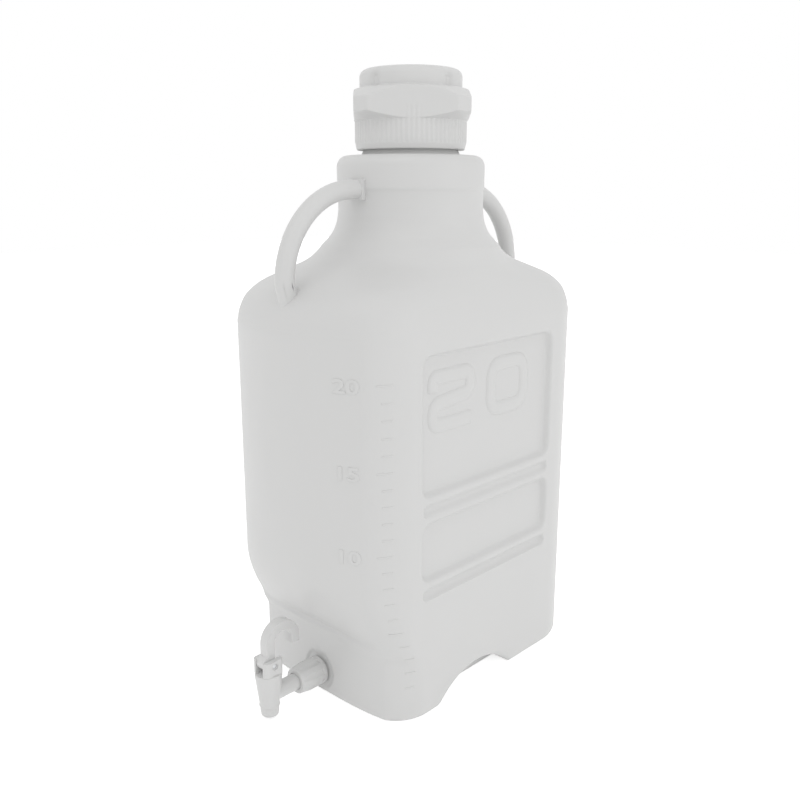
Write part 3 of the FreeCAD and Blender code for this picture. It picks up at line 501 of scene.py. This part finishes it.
def cap_radius(cap, angle, z):
    """The cap's outside in each direction at a height."""
    quarter = math.pi / 2
    from_axis = np.abs((angle + quarter / 2) % quarter - quarter / 2)
    flats = cap.flat_reach / np.cos(quarter / 2 - from_axis)
    corners = cap.corner_reach / np.cos(from_axis)
    plan = blend_min(flats, corners, 0.0016)
    spare = cap.corner_reach - cap.skirt_radius
    under = cap.skirt_radius + spare * (z - cap.lug_bottom) / (cap.corner_bottom - cap.lug_bottom)
    over = cap.flat_reach + spare * (cap.lug_crest - z) / (cap.lug_crest - cap.corner_top)
    over -= 7 * max(z - cap.lug_crest + 0.0005, 0)
    lug = blend_min(blend_min(plan, under, 0.0012), over, 0.0012)
    foot = cap.rim_radius + (cap.skirt_radius - cap.rim_radius) * smooth_step((z - cap.bottom) / 0.009)
    crease = cap.crease * np.exp(-(from_axis / math.radians(6)) ** 2)
    crease = crease * (1 - smooth_step((z - cap.top + 0.011) / 0.009))
    inset = max(z - cap.top + cap.crown_round, 0)
    crown = cap.crown_radius - crease - cap.crown_round + math.sqrt(max(cap.crown_round ** 2 - inset ** 2, 0))
    core = foot + (crown - foot) * smooth_step((z - cap.lug_crest + 0.002) / 0.0035)
    clear = 1 - smooth_step((lug - core) / 0.0012)
    fade = smooth_step((z - cap.bottom - 0.0045) / 0.003) * (1 - smooth_step((z - cap.corner_bottom) / 0.008))
    clear = np.where(z > cap.lug_bottom, clear, 1)
    rib = cap.rib_depth * (0.5 - 0.5 * np.cos(cap.ribs * angle)) * fade * clear
    return blend_max(core, lug, 0.0012) - rib


def cap_rings(cap, angle):
    """Every ring of the cap, from the middle of its crown down outside and up inside."""
    rings = []

    def add(radius, height):
        radius = np.broadcast_to(radius, angle.shape)
        level = np.full(angle.shape, height)
        rings.append(np.stack([radius * np.cos(angle), radius * np.sin(angle), level], axis=1))

    flat = cap.crown_radius - cap.crown_round
    for share in (0, 0.4, 0.8, 0.97):
        add(flat * share, cap.top)
    edge = [cap.top - cap.crown_round * (1 - math.cos(turn)) for turn in np.radians(np.linspace(0, 90, 11))]
    marks = [(cap.lug_crest, 0.0025, 3), (cap.corner_top, 0.002, 2), (cap.corner_bottom, 0.002, 3),
             (cap.lug_bottom, 0.003, 2), (cap.bottom + 0.006, 0.003, 1)]
    for height in edge + list(spread(cap.bottom + 0.0012, edge[-1], 74, marks)[-2::-1]):
        add(cap_radius(cap, angle, height), height)
    rim = cap.rim_radius
    for radius, height in arc((rim - 0.0012, cap.bottom + 0.0012), 0.0012, -20, -90, 4):
        add(radius, height)
    add(cap.bore + 0.0008, cap.bottom)
    add(cap.bore, cap.bottom + 0.0008)
    for share in (0.2, 0.4, 0.6, 0.8, 1):
        add(cap.bore, cap.bottom + 0.0008 + (cap.ceiling - cap.bottom - 0.0008) * share)
    for share in (0.98, 0.5, 0):
        add(cap.bore * share, cap.ceiling)
    return rings


# ---- materials -----------------------------------------------------------------------------

def node_tree(name):
    """A new node material, its tree and its Principled shader."""
    material = bpy.data.materials.new(name)
    material.use_nodes = True
    tree = material.node_tree
    return material, tree, tree.nodes["Principled BSDF"]


def noise(tree, source, scale, detail=2.0, stretch=(1, 1, 1)):
    """Noise on the object's own coordinates."""
    mapping = tree.nodes.new("ShaderNodeMapping")
    mapping.inputs["Scale"].default_value = stretch
    tree.links.new(source, mapping.inputs["Vector"])
    texture = tree.nodes.new("ShaderNodeTexNoise")
    texture.inputs["Scale"].default_value = scale
    texture.inputs["Detail"].default_value = detail
    tree.links.new(mapping.outputs["Vector"], texture.inputs["Vector"])
    return texture.outputs["Fac"]


def ramp(tree, source, low, high):
    """Maps a 0 to 1 value onto low to high."""
    item = tree.nodes.new("ShaderNodeMapRange")
    item.inputs["To Min"].default_value = low
    item.inputs["To Max"].default_value = high
    tree.links.new(source, item.inputs["Value"])
    return item.outputs["Result"]


def tinted(tree, shader, source, colour, spread_share):
    """Base colour that drifts a little round one colour."""
    mix = tree.nodes.new("ShaderNodeMix")
    mix.data_type = "RGBA"
    mix.inputs["A"].default_value = [c * (1 - spread_share) for c in colour[:3]] + [1]
    mix.inputs["B"].default_value = [min(c * (1 + spread_share), 1) for c in colour[:3]] + [1]
    tree.links.new(source, mix.inputs["Factor"])
    tree.links.new(mix.outputs["Result"], shader.inputs["Base Color"])


def bumped(tree, shader, source, distance, strength=0.5):
    """Fine relief from a height value."""
    bump = tree.nodes.new("ShaderNodeBump")
    bump.inputs["Distance"].default_value = distance
    bump.inputs["Strength"].default_value = strength
    tree.links.new(source, bump.inputs["Height"])
    tree.links.new(bump.outputs["Normal"], shader.inputs["Normal"])


def plastic(name, colour, gloss, grain, drift, stretch):
    """Moulded polythene: cloudy colour, satin skin and the mould's fine grain."""
    material, tree, shader = node_tree(name)
    place = tree.nodes.new("ShaderNodeTexCoord").outputs["Object"]
    tinted(tree, shader, noise(tree, place, 14, 3.0, stretch), colour, drift)
    tree.links.new(ramp(tree, noise(tree, place, 60, 2.0, stretch), gloss - 0.05, gloss + 0.06),
                   shader.inputs["Roughness"])
    bumped(tree, shader, noise(tree, place, grain, 3.0), 0.00005, 0.35)
    shader.inputs["Subsurface Weight"].default_value = 0.12
    shader.inputs["Subsurface Radius"].default_value = (0.004, 0.004, 0.004)
    shader.inputs["IOR"].default_value = 1.5
    return material


def blown_plastic(colours):
    return plastic("blown_polythene", colours.blown, 0.46, 900, 0.012, (1, 1, 0.25))


def cap_plastic(colours):
    return plastic("cap_polythene", colours.cap, 0.44, 1400, 0.010, (1, 1, 1))


def tap_plastic(colours):
    return plastic("tap_polythene", colours.tap, 0.34, 2200, 0.012, (1, 1, 1))


def liner_foam(colours):
    """Closed-cell foam: small pits and no shine."""
    material, tree, shader = node_tree("liner_foam")
    place = tree.nodes.new("ShaderNodeTexCoord").outputs["Object"]
    cells = tree.nodes.new("ShaderNodeTexVoronoi")
    cells.inputs["Scale"].default_value = 1600
    tree.links.new(place, cells.inputs["Vector"])
    tinted(tree, shader, noise(tree, place, 90, 3.0), colours.foam, 0.04)
    bumped(tree, shader, cells.outputs["Distance"], 0.0002, 0.6)
    shader.inputs["Roughness"].default_value = 0.9
    return material


def seal_rubber(colours):
    """Dark rubber with a dusty bloom and tiny specks."""
    material, tree, shader = node_tree("seal_rubber")
    place = tree.nodes.new("ShaderNodeTexCoord").outputs["Object"]
    tinted(tree, shader, noise(tree, place, 350, 4.0), colours.seal, 0.3)
    tree.links.new(ramp(tree, noise(tree, place, 500, 2.0), 0.55, 0.75), shader.inputs["Roughness"])
    bumped(tree, shader, noise(tree, place, 2500, 3.0), 0.00006, 0.5)
    return material


def drawn_steel(colours):
    """Bright drawn wire and pin: metal with fine lengthwise lines."""
    material, tree, shader = node_tree("drawn_steel")
    place = tree.nodes.new("ShaderNodeTexCoord").outputs["Object"]
    lines = noise(tree, place, 900, 3.0, (0.08, 1, 1))
    tinted(tree, shader, lines, colours.steel, 0.08)
    tree.links.new(ramp(tree, lines, 0.2, 0.38), shader.inputs["Roughness"])
    bumped(tree, shader, lines, 0.00002, 0.4)
    shader.inputs["Metallic"].default_value = 1.0
    return material


MAKERS = {
    "polyethylene": blown_plastic,
    "cap_plastic": cap_plastic,
    "tap_plastic": tap_plastic,
    "foam": liner_foam,
    "rubber": seal_rubber,
    "steel": drawn_steel,
}


def material_for(slot):
    """The one material of a slot, made the first time it is asked for."""
    name = "slot_" + slot
    found = bpy.data.materials.get(name)
    if found is None:
        found = MAKERS[slot](bpy.context.scene.carboy_finish)
        found.name = name
    return found


# ---- operators -----------------------------------------------------------------------------

class CARBOY_OT_bottle(bpy.types.Operator):
    """Blow-moulded bottle: body, niche, grips, panels, shoulder, collar and neck"""

    bl_idname = "carboy.bottle"
    bl_label = "Bottle"

    def execute(self, context):
        body = context.scene.carboy_body
        columns = 320
        bm = moulded(columns, bottle_rings(body, column_angles(body, columns)))
        finish_piece("bottle", bm, material_for("polyethylene"), "bottle",
                     BANDS, sharp=50)
        return {"FINISHED"}


class CARBOY_OT_neck_thread(bpy.types.Operator):
    """Screw thread round the neck, tapering to nothing at both ends"""

    bl_idname = "carboy.neck_thread"
    bl_label = "Neck thread"

    def execute(self, context):
        body = context.scene.carboy_body
        turns, steps = 3.5, 84
        start = LINER_LOW.z - 0.009 - turns * body.thread_pitch
        root = body.neck_radius - 0.0004
        bm = bmesh.new()
        section = [(root, -0.0022), (root + 0.0008, -0.0018), (body.neck_radius + body.thread_crest, -0.0006),
                   (body.neck_radius + body.thread_crest, 0.0006), (root + 0.0008, 0.0018), (root, 0.0022)]
        verts = [bm.verts.new((radius, 0, start + height)) for radius, height in section]
        edges = [bm.edges.new(pair) for pair in zip(verts, verts[1:] + verts[:1])]
        bmesh.ops.spin(bm, geom=verts + edges, cent=(0, 0, 0), axis=(0, 0, 1), angle=math.tau * turns,
                       dvec=(0, 0, turns * body.thread_pitch / (steps * turns)),
                       steps=round(steps * turns), use_merge=False, use_duplicate=False)
        for vert in bm.verts:
            turn = math.atan2(vert.co.y, vert.co.x) / math.tau % 1
            done = round((vert.co.z - start) / body.thread_pitch - turn) + turn
            from_end = min(done, turns - done) * 8
            share = min(max(from_end, 0), 1)
            radius = math.hypot(vert.co.x, vert.co.y)
            drawn = root + (radius - root) * share
            vert.co.x *= drawn / radius
            vert.co.y *= drawn / radius
        bmesh.ops.holes_fill(bm, edges=[one for one in bm.edges if one.is_boundary])
        bmesh.ops.recalc_face_normals(bm, faces=bm.faces)
        finish_piece("neck_thread", bm, material_for("polyethylene"), "bottle", sharp=60)
        return {"FINISHED"}


class CARBOY_OT_outlet(bpy.types.Operator):
    """Spigot that carries the tap, in the recess of the niche wall"""

    bl_idname = "carboy.outlet"
    bl_label = "Outlet spigot"

    def execute(self, context):
        _, gasket_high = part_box("outlet_gasket")
        bore, radius = 0.008, 0.011
        root = -context.scene.carboy_body.niche_wall + 0.0016
        tip = -gasket_high.y
        bm = turned_piece([(bore, -root), (radius, -root), (radius, tip), (bore, tip)], 0.0005)
        lay_along_y(bm)
        finish_piece("outlet_spigot", bm, material_for("polyethylene"), "bottle")
        return {"FINISHED"}


def lay_along_y(bm):
    """Turns a piece made round Z to lie along -Y at the tap's height."""
    bmesh.ops.rotate(bm, verts=bm.verts, cent=(0, 0, 0), matrix=Matrix.Rotation(math.pi / 2, 3, "X"))
    bmesh.ops.translate(bm, verts=bm.verts, vec=(0, 0, OUTLET_HEIGHT))


def contour(body, height):
    """Angles round the body at a height, with the distance walked along it from the front's middle."""
    angle = np.linspace(-math.pi / 2, math.pi / 2, 4001)
    radius = reach(body, angle, height)
    x, y = radius * np.cos(angle), radius * np.sin(angle)
    walked = np.concatenate([[0], np.cumsum(np.hypot(np.diff(x), np.diff(y)))])
    return angle, walked


def wrap_round(bm, body, height, start, stand_out):
    """Lays a flat piece on the body: its X runs round from the front, its Y up, its Z outwards."""
    angle, walked = contour(body, height)
    along = np.array([vert.co.x for vert in bm.verts]) + start
    up = np.array([vert.co.y for vert in bm.verts]) + height
    out = np.array([vert.co.z for vert in bm.verts]) + stand_out
    turn = np.interp(along, walked, angle)
    step = 0.001
    radius = reach(body, turn, up)
    ahead = reach(body, turn + step, up)
    gx = ahead * np.cos(turn + step) - radius * np.cos(turn)
    gy = ahead * np.sin(turn + step) - radius * np.sin(turn)
    size = np.hypot(gx, gy)
    x = radius * np.cos(turn) + gy / size * out
    y = radius * np.sin(turn) - gx / size * out
    for vert, place in zip(bm.verts, np.stack([x, y, up], axis=1)):
        vert.co = place


def mesh_of(curve):
    """A curve's surface as a mesh; the curve is used up."""
    maker = bpy.data.objects.new(curve.name, curve)
    mesh = bpy.data.meshes.new_from_object(maker)
    bm = bmesh.new()
    bm.from_mesh(mesh)
    bpy.data.objects.remove(maker)
    bpy.data.curves.remove(curve)
    bpy.data.meshes.remove(mesh)
    bmesh.ops.remove_doubles(bm, verts=bm.verts, dist=1e-6)
    return bm


def raised_text(text, height, depth, thicken=0.0):
    """Numerals as a mesh, centred, height tall, with rounded edges and depth thick."""
    curve = bpy.data.curves.new(text, "FONT")
    curve.body = text
    curve.align_x = "CENTER"
    curve.align_y = "CENTER"
    curve.size = height / 0.72
    curve.extrude = depth / 2
    curve.offset = thicken
    curve.bevel_depth = depth * 0.28
    curve.bevel_resolution = 2
    curve.resolution_u = 8
    bm = mesh_of(curve)
    bmesh.ops.triangulate(bm, faces=[face for face in bm.faces if len(face.verts) > 4])
    bmesh.ops.subdivide_edges(bm, edges=[one for one in bm.edges if one.calc_length() > 0.004], cuts=1)
    bmesh.ops.triangulate(bm, faces=[face for face in bm.faces if len(face.verts) > 4])
    return bm


DIGIT_PATHS = {
    "0": [(-0.5, -0.5), (0.5, -0.5), (0.5, 0.5), (-0.5, 0.5)],
    "2": [(-0.5, 0.22), (-0.5, 0.5), (0.5, 0.5), (0.5, 0.06), (-0.5, -0.06), (-0.5, -0.5), (0.5, -0.5)],
}


def swept_digit(digit, wide, tall, stroke, relief):
    """A broad numeral with a rounded stroke, flattened so that it stands relief out of its ground."""
    corners = [(x * wide, y * tall, 0) for x, y in DIGIT_PATHS[digit]]
    path = eased_corners(corners, tall * 0.34, 8)
    closed = digit == "0"
    if not closed:
        path = [Vector(corners[0])] + path[9:-9] + [Vector(corners[-1])]
    curve = bpy.data.curves.new(digit, "CURVE")
    curve.dimensions = "3D"
    curve.bevel_depth = stroke / 2
    curve.bevel_resolution = 4
    curve.use_fill_caps = True
    line = curve.splines.new("POLY")
    line.points.add(len(path) - 1)
    for point, place in zip(line.points, path):
        point.co = (*place, 1)
    line.use_cyclic_u = closed
    bm = mesh_of(curve)
    bmesh.ops.scale(bm, verts=bm.verts, vec=(1, 1, 2 * relief / stroke))
    return bm


def raised_bar(long, tall, depth):
    """A small bar with rounded edges, split along its length so that it can bend."""
    bm = bmesh.new()
    bmesh.ops.create_cube(bm, size=1.0)
    bmesh.ops.scale(bm, verts=bm.verts, vec=(long, tall, depth))
    bmesh.ops.bevel(bm, geom=bm.edges[:], offset=min(tall, depth) * 0.3, offset_type="OFFSET", segments=2,
                    profile=0.5, affect="EDGES", clamp_overlap=True, material=-1)
    lengthwise = [one for one in bm.edges if abs(one.verts[0].co.x - one.verts[1].co.x) > long * 0.5]
    bmesh.ops.subdivide_edges(bm, edges=lengthwise, cuts=7, use_grid_fill=True)
    return bm


def merged(parts):
    """Several meshes as one."""
    whole = bmesh.new()
    for part in parts:
        mesh = bpy.data.meshes.new("part")
        part.to_mesh(mesh)
        part.free()
        whole.from_mesh(mesh)
        bpy.data.meshes.remove(mesh)
    return whole


def litre_height(litres):
    """Height of a litre mark; the body's section is even above the niche."""
    return 0.0359 + 0.01522 * (litres - 1)


# the litre scale, as distances walked round the body from the front's middle
MARKS_END = 0.1135
LONG_MARK = 0.0145
SHORT_MARK = 0.0100
MARK_WIDTH = 0.0014
MARK_RELIEF = 0.0008
NUMBERS_START = 0.0727
NUMBER_HEIGHT = 0.0122
NUMBER_STRETCH = 1.45


class CARBOY_OT_litre_marks(bpy.types.Operator):
    """Raised litre marks by the front corner, with a number at ten, fifteen and twenty"""

    bl_idname = "carboy.litre_marks"
    bl_label = "Litre marks"

    def execute(self, context):
        body = context.scene.carboy_body
        bars = []
        for litres in range(1, 21):
            height = litre_height(litres)
            long = LONG_MARK if litres % 5 == 0 else SHORT_MARK
            bar = raised_bar(long, MARK_WIDTH, MARK_RELIEF)
            wrap_round(bar, body, height, MARKS_END - long / 2, 0.0)
            bars.append(bar)
        finish_piece("litre_marks", merged(bars), material_for("polyethylene"), "bottle")
        numbers = []
        for litres in (10, 15, 20):
            number = raised_text(str(litres), NUMBER_HEIGHT, MARK_RELIEF, 0.0003)
            bmesh.ops.scale(number, verts=number.verts, vec=(NUMBER_STRETCH, 1, 1))
            wrap_round(number, body, litre_height(litres) - 0.002, NUMBERS_START, 0.0)
            numbers.append(number)
        finish_piece("litre_numbers", merged(numbers), material_for("polyethylene"), "bottle")
        return {"FINISHED"}


class CARBOY_OT_side_numbers(bpy.types.Operator):
    """Large raised twenty in the upper panel of each side"""

    bl_idname = "carboy.side_numbers"
    bl_label = "Side numbers"

    def execute(self, context):
        body = context.scene.carboy_body
        face = body.half_width - body.panel_depth
        for side, name in ((1, "right_number"), (-1, "left_number")):
            digits = []
            for digit, along in (("2", -0.0525), ("0", 0.030)):
                one = swept_digit(digit, 0.052, 0.044, 0.014, 0.0018)
                bmesh.ops.translate(one, verts=one.verts, vec=(along, 0, 0))
                digits.append(one)
            bm = merged(digits)
            turn = Matrix(((0, 0, side), (side, 0, 0), (0, 1, 0)))
            bmesh.ops.transform(bm, verts=bm.verts, matrix=turn.to_4x4())
            bmesh.ops.translate(bm, verts=bm.verts, vec=(side * face, 0, 0.301))
            finish_piece(name, bm, material_for("polyethylene"), "bottle")
        return {"FINISHED"}


FOOT_TOP = 0.396
FOOT_LEAN = 0.006


class CARBOY_OT_handles(bpy.types.Operator):
    """Two round handles bent from the collar down to the shoulder"""

    bl_idname = "carboy.handles"
    bl_label = "Handles"

    def execute(self, context):
        for node in ("front_handle", "rear_handle"):
            bm = softened_copy(node, 0.001)
            for vert in bm.verts:
                if vert.co.z < FOOT_TOP:
                    vert.co.y -= math.copysign(FOOT_LEAN, vert.co.y)
            plastic = material_for("polyethylene")
            finish_piece(node + "_moulding", bm, plastic, "bottle", [node])
        return {"FINISHED"}


class CARBOY_OT_cap(bpy.types.Operator):
    """Screw cap with a knurled skirt, a square nut's flats and a fluted crown"""

    bl_idname = "carboy.cap"
    bl_label = "Screw cap"

    def execute(self, context):
        cap = context.scene.carboy_cap
        columns = cap.ribs * 12
        angle = np.arange(columns) / columns * math.tau
        bm = moulded(columns, cap_rings(cap, angle))
        finish_piece("screw_cap", bm, material_for("cap_plastic"), "cap", ["cap_shell"])
        return {"FINISHED"}


class CARBOY_OT_tap(bpy.types.Operator):
    """Tap body, coupling nut, bonnet and lever with rounded moulded edges"""

    bl_idname = "carboy.tap"
    bl_label = "Tap mouldings"

    def execute(self, context):
        for node, name, body, edge in (
            ("tap_body", "tap_barrel", "bottle", 0.0004),
            ("coupling_nut", "fluted_nut", "bottle", 0.0005),
            ("nut_ring", "split_ring", "bottle", 0.0002),
            ("tap_bonnet", "bonnet_moulding", "bottle", 0.0005),
            ("tap_lever", "lever_moulding", "lever", 0.0013),
            ("valve_stem", "stem_moulding", "stem", 0.0002),
            ("spring_washer", "washer_moulding", "stem", 0.0002),
        ):
            bm = softened_copy(node, edge)
            finish_piece(name, bm, material_for("tap_plastic"), body, [node])
        return {"FINISHED"}


class CARBOY_OT_fittings(bpy.types.Operator):
    """Liner, seals, pin and spring, kept as made and given their finishes"""

    bl_idname = "carboy.fittings"
    bl_label = "Seals and metal"

    def execute(self, context):
        for node, slot, body, edge in (
            ("cap_liner", "foam", "liner", 0.0003),
            ("outlet_gasket", "rubber", "bottle", 0.0002),
            ("bonnet_seal", "rubber", "bottle", 0.0),
            ("stem_seal", "rubber", "bottle", 0.0),
            ("seat_cup", "rubber", "stem", 0.0002),
            ("pivot_pin", "steel", "bottle", 0.0003),
            ("return_spring", "steel", "bottle", 0.0),
        ):
            bm = softened_copy(node, edge)
            piece = finish_piece(node + "_finished", bm, material_for(slot), body, [node])
            if node == "return_spring":
                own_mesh(piece)
        return {"FINISHED"}


class CARBOY_OT_stage(bpy.types.Operator):
    """Pale floor, white surroundings, a large soft lamp and the camera"""

    bl_idname = "carboy.stage"
    bl_label = "Studio"

    def execute(self, context):
        studio = context.scene.carboy_studio
        bm = bmesh.new()
        bmesh.ops.create_grid(bm, x_segments=1, y_segments=1, size=6.0)
        mesh = bpy.data.meshes.new("floor")
        bm.to_mesh(mesh)
        bm.free()
        floor = bpy.data.objects.new("floor", mesh)
        context.scene.collection.objects.link(floor)
        mesh.materials.append(floor_paint(studio))
        surround(context.scene, studio)
        for name, azimuth, elevation, distance, size, power in (
            ("key_lamp", 20, 62, 1.9, 1.6, studio.key_power),
            ("side_lamp", 105, 12, 2.0, 1.4, studio.key_power * 1.1),
        ):
            add_lamp(context.scene, name, azimuth, elevation, distance, size, power)
        add_camera(context.scene, studio)
        context.scene.view_settings.view_transform = "Standard"
        return {"FINISHED"}


def direction(azimuth, elevation):
    """From the object towards a camera or lamp; azimuth 0 is in front of the tap."""
    level = math.cos(elevation)
    return Vector((math.sin(azimuth) * level, -math.cos(azimuth) * level, math.sin(elevation)))


def seen_directly(tree):
    """1 on rays that show the backdrop: from the camera, in a reflection or through glass."""
    path = tree.nodes.new("ShaderNodeLightPath")
    total = path.outputs["Is Camera Ray"]
    for other in ("Is Glossy Ray", "Is Transmission Ray"):
        add = tree.nodes.new("ShaderNodeMath")
        add.operation = "MAXIMUM"
        tree.links.new(total, add.inputs[0])
        tree.links.new(path.outputs[other], add.inputs[1])
        total = add.outputs[0]
    return total


def floor_paint(studio):
    """White floor that keeps the soft shadow and reads as the backdrop elsewhere."""
    material, tree, shader = node_tree("floor_paint")
    shader.inputs["Base Color"].default_value = (0.86, 0.86, 0.86, 1)
    shader.inputs["Roughness"].default_value = 0.9
    shader.inputs["Specular IOR Level"].default_value = 0.0
    shader.inputs["Emission Color"].default_value = studio.backdrop
    tree.links.new(ramp(tree, seen_directly(tree), 0.16, 0.62), shader.inputs["Emission Strength"])
    return material


def surround(scene, studio):
    """Even light from all round; the camera sees it white."""
    world = bpy.data.worlds.new("surround")
    world.use_nodes = True
    scene.world = world
    tree = world.node_tree
    back = tree.nodes["Background"]
    back.inputs["Color"].default_value = studio.backdrop
    level = tree.nodes.new("ShaderNodeMapRange")
    level.inputs["To Min"].default_value = studio.ambient
    level.inputs["To Max"].default_value = 1.0
    tree.links.new(seen_directly(tree), level.inputs["Value"])
    tree.links.new(level.outputs["Result"], back.inputs["Strength"])


def add_lamp(scene, name, azimuth, elevation, distance, size, power):
    """A square soft lamp that faces the bottle."""
    lamp = bpy.data.lights.new(name, "AREA")
    lamp.size = size
    lamp.energy = power
    holder = bpy.data.objects.new(name, lamp)
    away = direction(math.radians(azimuth), math.radians(elevation))
    holder.location = Vector((0, 0, 0.3)) + away * distance
    holder.rotation_euler = away.to_track_quat("Z", "Y").to_euler()
    scene.collection.objects.link(holder)


def add_camera(scene, studio):
    """The camera, a little to the left of straight on."""
    lens = bpy.data.cameras.new("camera")
    lens.lens = studio.lens
    lens.clip_end = 50
    camera = bpy.data.objects.new("camera", lens)
    back = direction(studio.azimuth, studio.elevation)
    right = Vector((math.cos(studio.azimuth), math.sin(studio.azimuth), 0))
    camera.location = Vector((0, 0, studio.aim_height)) + back * studio.distance - right * studio.side_step
    camera.rotation_euler = (math.pi / 2 - studio.elevation, 0, studio.azimuth)
    scene.collection.objects.link(camera)
    scene.camera = camera


class CARBOY_PT_panel(bpy.types.Panel):
    """Buttons and settings for the carboy"""

    bl_label = "Carboy"
    bl_idname = "CARBOY_PT_panel"
    bl_space_type = "VIEW_3D"
    bl_region_type = "UI"
    bl_category = "Carboy"

    def draw(self, context):
        for operator in OPERATORS:
            self.layout.operator(operator.bl_idname)
        scene = context.scene
        for group in (scene.carboy_body, scene.carboy_cap, scene.carboy_finish, scene.carboy_studio):
            box = self.layout.box()
            for name in group.__annotations__:
                box.prop(group, name)


OPERATORS = (
    CARBOY_OT_bottle, CARBOY_OT_neck_thread, CARBOY_OT_outlet, CARBOY_OT_litre_marks, CARBOY_OT_side_numbers,
    CARBOY_OT_handles, CARBOY_OT_cap, CARBOY_OT_tap, CARBOY_OT_fittings, CARBOY_OT_stage,
)
CLASSES = (CarboyBody, CarboyCap, CarboyFinish, CarboyStudio) + OPERATORS + (CARBOY_PT_panel,)


def register():
    for item in CLASSES:
        bpy.utils.register_class(item)
    bpy.types.Scene.carboy_body = bpy.props.PointerProperty(type=CarboyBody)
    bpy.types.Scene.carboy_cap = bpy.props.PointerProperty(type=CarboyCap)
    bpy.types.Scene.carboy_finish = bpy.props.PointerProperty(type=CarboyFinish)
    bpy.types.Scene.carboy_studio = bpy.props.PointerProperty(type=CarboyStudio)


def unregister():
    for name in ("carboy_body", "carboy_cap", "carboy_finish", "carboy_studio"):
        delattr(bpy.types.Scene, name)
    for item in reversed(CLASSES):
        bpy.utils.unregister_class(item)


def main():
    register()
    for operator in OPERATORS:
        group, name = operator.bl_idname.split(".")
        getattr(getattr(bpy.ops, group), name)()


if __name__ == "__main__":
    main()
